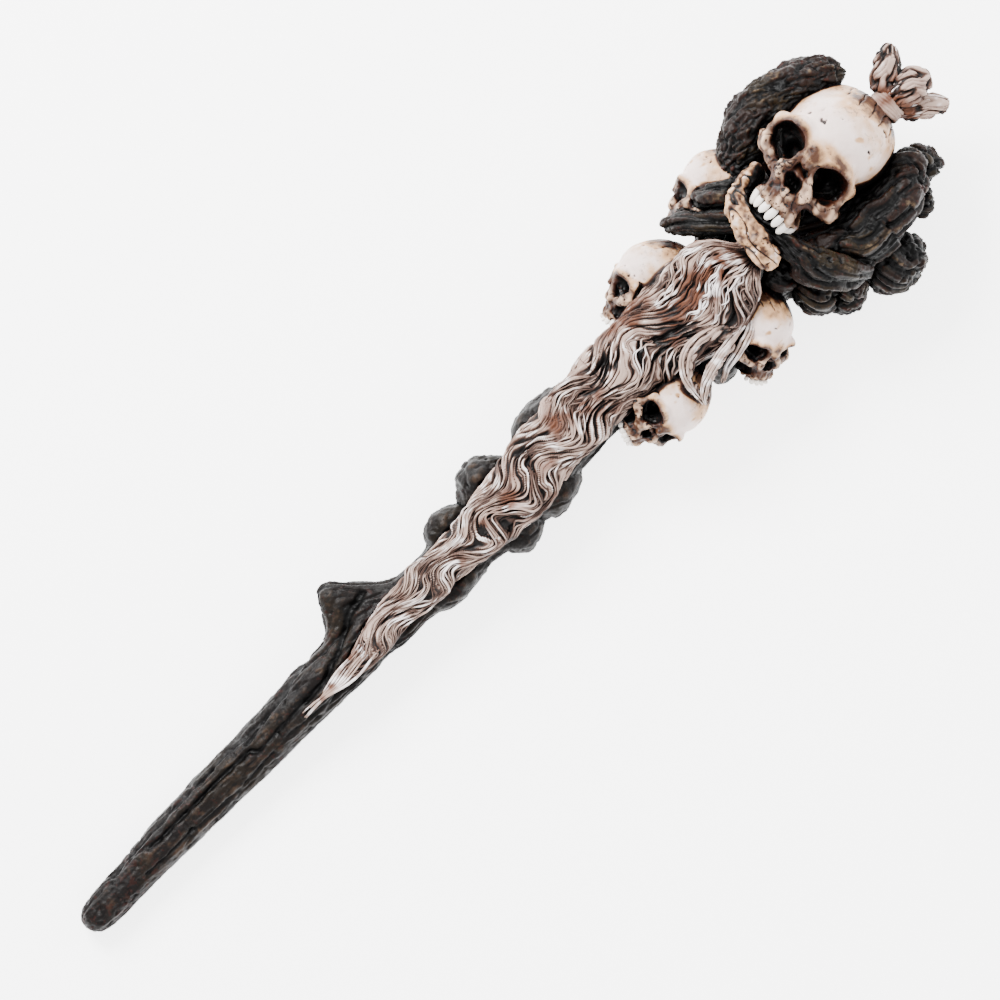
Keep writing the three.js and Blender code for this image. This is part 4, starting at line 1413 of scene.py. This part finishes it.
def raised(height):
    """How far each place on a grid stands above the mean of what is round it, in millimetres."""
    reach = 4
    width = 2 * reach + 1
    mean = np.pad(height, reach, mode="edge")
    for axis in (0, 1):
        total = np.insert(np.cumsum(mean, axis=axis), 0, 0, axis=axis)
        if axis == 0:
            mean = (total[width:] - total[:-width]) / width
        else:
            mean = (total[:, width:] - total[:, :-width]) / width
    return height - mean


def make_beard_body(name, bed, rows, turns, nodes):
    """The carved body of the beard between two of its rows, closed at both ends."""
    around, count = len(turns), len(rows)
    x = np.repeat(rows, around)
    turn = np.tile(turns, count)
    wrapped = np.where(turn > math.pi, turn - 2 * math.pi, turn)
    _, girth, _, _ = bed.read(x)
    height, furrow = hair_relief(x, hair_flow(x, wrapped, girth), girth)
    crest = raised(height.reshape(count, around)).ravel()
    shown = smooth_step(2.2, 1.6, np.abs(wrapped))
    points = bed.point(x, wrapped, height * shown + 0.25)
    grid = np.arange(count * around).reshape(count, around)
    after = np.roll(grid, -1, axis=1)
    faces = np.stack([grid[:-1], grid[1:], after[1:], after[:-1]], -1).reshape(-1, 4)
    caps = []
    for row, way in ((0, 1), (count - 1, -1)):
        ring = points[row * around : (row + 1) * around]
        middle = len(points)
        points = np.concatenate([points, ring.mean(0)[None]])
        for j in range(0, around, 2):
            side = [grid[row, j], grid[row, (j + 1) % around], grid[row, (j + 2) % around]]
            caps.append([middle] + side[::way])
    faces = np.concatenate([faces, np.array(caps)])
    a, b, c = (points[faces[:, i]] for i in (0, 1, 2))
    if np.einsum("ij,ij->i", a, np.cross(b, c)).sum() < 0:
        faces = faces[:, ::-1]
    normals = point_normals(points, faces)
    furrow, crest = np.concatenate([furrow, [1, 1]]), np.concatenate([crest, [0, 0]])
    # The recess mask takes painted shade in crevices between pieces; the pale brushwork takes a painted
    # highlight on faces turned up to the light.
    crevice_shade = painted_crevice_shade(points, normals)
    masks = {
        "recess": np.clip(0.8 * furrow - 0.5 * crest + 0.7 * smooth_step(0.4, 1.0, crevice_shade), 0, 1),
        "proud": np.clip(
            (0.45 + 1.7 * crest - 0.7 * furrow) * smooth_step(-0.3, 0.8, normals[:, 2]) * worn(points)
            * (1 - 0.7 * hair_tone(points)), 0, 1,
        ),
        "stain": hair_tone(points),
    }
    finish_piece(name, points, faces, HAIR, nodes, masks)


def curve_through(stops, count):
    """A smooth line through some stops."""
    stops = np.asarray(stops, float)
    t = np.linspace(0, len(stops) - 1, count)
    i = np.clip(t.astype(int), 0, len(stops) - 2)
    f = (t - i)[:, None]
    before = stops[np.maximum(i - 1, 0)]
    after = stops[np.minimum(i + 2, len(stops) - 1)]
    a, b = stops[i], stops[i + 1]
    return 0.5 * ((2 * a) + (b - before) * f + (2 * before - 5 * a + 4 * b - after) * f**2
                  + (3 * a - before - 3 * b + after) * f**3)


def bundle(stops, wide, thick, count, girth, twist, rng, points, splay=0.25):
    """Strands side by side round an oval lock that runs along a line."""
    centre = curve_through(stops, points)
    heading = np.gradient(centre, axis=0)
    heading /= np.linalg.norm(heading, axis=1)[:, None]
    side = np.cross(heading, (0, 0, 1.0))
    side /= np.linalg.norm(side, axis=1)[:, None]
    lift = np.cross(side, heading)
    t = np.linspace(0, 1, points)
    wide_at = np.interp(t, np.linspace(0, 1, len(wide)), wide)
    thick_at = np.interp(t, np.linspace(0, 1, len(thick)), thick)
    lines, girths = [], []
    for i in range(count):
        angle = 2 * math.pi * (i + rng.uniform(-0.25, 0.25)) / count + twist * t
        away = 1 + splay * rng.uniform(-1, 1) * t**2
        keep = int(points * rng.uniform(0.86, 1.0))
        aside, above = np.cos(angle) * wide_at * away, np.sin(angle) * thick_at * away
        line = centre + side * aside[:, None] + lift * above[:, None]
        line += 0.25 * np.stack([noise(line / 3 + i), noise(line / 3 + i + 40), noise(line / 3 + i + 80)], 1)
        lines.append(line[:keep])
        own = girth * rng.uniform(0.8, 1.25) * (1.05 - 0.7 * t**2)
        girths.append(own[:keep])
    return lines, girths


def make_lock(name, bundles, nodes, tone, brushing=0.9):
    """A lock made of bundles of strands: its tone says where it is brown."""
    lines = [line for b in bundles for line in b[0]]
    girths = [g for b in bundles for g in b[1]]
    mesh = strand_mesh(name, lines, girths, 7)
    points, normals = mesh_points(mesh)
    # Faces turned away from the light get painted shade in the recess mask, and faces turned up to it a
    # painted highlight in the proud mask.
    up = smooth_step(-0.5, 0.7, normals[:, 2])
    blotch = noise(points / 3.5)
    add_mask(mesh, "recess", np.clip(0.9 * (1 - up) + 0.4 * blotch, 0, 1))
    add_mask(mesh, "proud", np.clip(brushing * up * worn(points) + 0.15 * blotch, 0, 1))
    add_mask(mesh, "stain", np.clip(tone(points) + 0.4 * blotch, 0, 1))
    shade_smooth(mesh)
    settle(bpy.data.objects.new(name, mesh), HAIR, nodes)


LOCK_STEP = 0.28


def carve_lock(name, tone):
    """The folded body of a tuft or a lock, from its CAD node, with the hair's lie cut into it."""
    own = own_number(name, 61)
    points, faces = node_field([name], LOCK_STEP, 2.5).blurred(0.45).surface(0.1)
    normals = point_normals(points, faces)
    grain = grain_at(points, centre_line(name, 4), 0.06, own, 0.6)
    folds = 1.1 * groove(noise(grain(11.0, 2.6)), 0.3)
    strands = 0.45 * groove(noise(grain(8.0, 1.1)), 0.35)
    swell = 0.4 * noise(points / 3.0 + own)
    relief = folds + strands + swell
    moved = points + normals * (relief + 0.5)[:, None]
    # Painted shade in crevices between pieces and on faces turned away from the light; a painted highlight on
    # faces turned up to it.
    crevice_shade = painted_crevice_shade(moved, normals)
    deep = np.clip(-0.75 * folds - 0.8 * strands, 0, 1)
    up = smooth_step(-0.4, 0.7, normals[:, 2])
    masks = {
        "recess": np.clip(deep + 0.5 * (1 - up) + 0.5 * smooth_step(0.5, 1.0, crevice_shade), 0, 1),
        "proud": np.clip((0.75 - deep + 0.5 * swell) * up * worn(points) * (1 - 0.6 * tone(points)), 0, 1),
        "stain": np.clip(tone(points) + 0.3 * noise(points / 3.5), 0, 1),
    }
    finish_piece(name + "_carved", moved, faces, HAIR, [name], masks)


def along_box(name, shares):
    """Points given as shares of a CAD node's box, in millimetres."""
    low, high = node_box(name)
    return low + np.asarray(shares, float) * (high - low)


# The free locks that curl down between the two skulls on the right, as shares of their CAD node's box.
OUTER_LOCK = [
    (1.0, 0.78, 0.35), (0.8, 0.88, 0.9), (0.5, 0.96, 0.97),
    (0.22, 0.84, 0.93), (0.06, 0.48, 0.68), (0.03, 0.02, 0.24),
]
INNER_LOCK = [
    (1.25, 0.6, 0.2), (0.9, 0.54, 0.64), (0.5, 0.44, 0.68),
    (0.26, 0.32, 0.58), (0.1, 0.16, 0.4), (0.05, 0.0, 0.14),
]
FAR_LOCK = [(1.4, 0.66, 0.1), (1.2, 0.42, 0.36), (0.9, 0.3, 0.3), (0.6, 0.22, 0.22), (0.4, 0.06, 0.04)]


def even_tone(value):
    """The same tone all over."""
    return lambda points: np.full(len(points), value)


def make_side_locks(rng):
    """Three free locks on the right of the beard."""
    name = "beard_side_lock"
    outer, inner, far = (along_box(name, shares) for shares in (OUTER_LOCK, INNER_LOCK, FAR_LOCK))
    pale = even_tone(0.3)
    make_lock(
        "side_lock_strands",
        [
            bundle(outer, (0.6, 1.1, 1.3, 1.0, 0.3), (0.6, 1.0, 1.2, 0.9, 0.3), 7, 0.5, 2.4, rng, 70),
            bundle(inner, (0.6, 1.0, 1.1, 0.9, 0.3), (0.6, 0.9, 1.0, 0.8, 0.3), 7, 0.44, -2.0, rng, 60),
            bundle(far, (0.6, 1.0, 1.0, 0.3), (0.6, 0.9, 0.9, 0.3), 6, 0.42, 1.8, rng, 50),
        ],
        [], pale,
    )
    carve_lock(name, pale)


def make_beard_tail(rng):
    """The last thin hairs of the beard, lying on the stick."""
    stick = Bed("stick")
    tip = BEARD_BED.x[0]
    lines, girths = [], []
    for i in range(9):
        begin, end = tip + rng.uniform(9, 23), tip + rng.uniform(-9, 1)
        x = np.arange(begin, end, -0.5)
        t = np.linspace(0, 1, len(x))
        middle, _, _, _ = BEARD_BED.read(x)
        aside = (-3.2 + 0.8 * i) * (1 - 0.75 * t) + 0.5 * np.sin(x / 3.2 + 0.5 * i)
        _, _, stick_z, stick_half = stick.read(x)
        z = stick_z + stick_half + 0.2 - 0.25 * (1 - t) * (aside / 2.5) ** 2
        lines.append(np.stack([x, middle + aside, z], 1))
        girths.append(rng.uniform(0.26, 0.45) * np.sin(math.pi * np.clip(0.08 + 0.88 * t, 0, 1)) ** 0.5)
    make_lock("beard_tail_strands", [(lines, girths)], [], even_tone(0.6))


def make_topknot():
    """Three tufts tied together on the crown."""
    rng = np.random.default_rng(RANDOM_SEED + 2)
    tie = node_middle("topknot_tie")

    def brown_foot(points):
        away = np.linalg.norm(points - tie, axis=1) + 3 * noise(points / 4)
        return 0.3 + 0.8 * smooth_step(13.5, 5.0, away)

    for name in ("topknot_left_tuft", "topknot_middle_tuft", "topknot_right_tuft"):
        stops = centre_line(name, 4)
        if np.linalg.norm(stops[0] - tie) > np.linalg.norm(stops[-1] - tie):
            stops = stops[::-1]
        carve_lock(name, brown_foot)
        wide, thick = (2.0, 2.6, 3.0, 2.2, 1.0), (1.6, 2.0, 2.2, 1.6, 0.8)
        make_lock(name + "_strands", [bundle(stops, wide, thick, 9, 0.42, 0.5, rng, 40, 0.3)], [], brown_foot)
    angle = np.linspace(0, 2 * math.pi, 40)
    lines, girths = [], []
    for i in range(5):
        across = (i - 2) * 0.75
        wave = 0.25 * np.sin(3 * angle + i)
        round_tie = (tie[0] + across + wave, tie[1] + 4.6 * np.cos(angle), tie[2] + 4.4 * np.sin(angle))
        lines.append(np.stack(round_tie, 1))
        girths.append(np.full(len(angle), 0.72))
    make_lock("topknot_tie_cord", [(lines, girths)], [], even_tone(0.65), 0.3)
    make_tie_knob()


def make_tie_knob():
    """The knob of bone that the topknot is tied on, with the facets smoothed off."""
    name = "topknot_tie"
    points, faces = node_field([name], 0.4, 4.0).blurred(0.9).surface(-0.1)
    normals = point_normals(points, faces)
    bumps = 0.3 * noise(points / 1.6) + 0.18 * noise(points / 0.8)
    moved = points + normals * bumps[:, None]
    everywhere = np.ones(len(points))
    # The recess mask is the hollows between the bumps and painted shade where the knob sits among the tufts
    # and the crown.
    masks = {
        "recess": np.clip(0.45 - bumps + 0.4 * painted_crevice_shade(moved, normals), 0, 1),
        "stain": 0.9 * everywhere,
        "proud": 0.2 * everywhere,
        "brushed": np.clip(0.3 + bumps, 0, 1),
    }
    finish_piece(name + "_knob", moved, faces, BONE, [name], masks)


def make_core():
    """The steel rod down the middle of the stick."""
    line = curve_through(centre_line("core_rod", 12)[1:-1], 80)
    mesh = strand_mesh("core_rod_steel", [line], [np.full(len(line), 1.5)], 24, STEEL)
    shade_smooth(mesh)
    settle(bpy.data.objects.new("core_rod_steel", mesh), STEEL, ["core_rod"])


make_core()
make_wood()
make_skulls()
make_beard()
side_hair_rng = np.random.default_rng(RANDOM_SEED + 1)
make_side_locks(side_hair_rng)
make_beard_tail(side_hair_rng)
make_topknot()
add_studio()
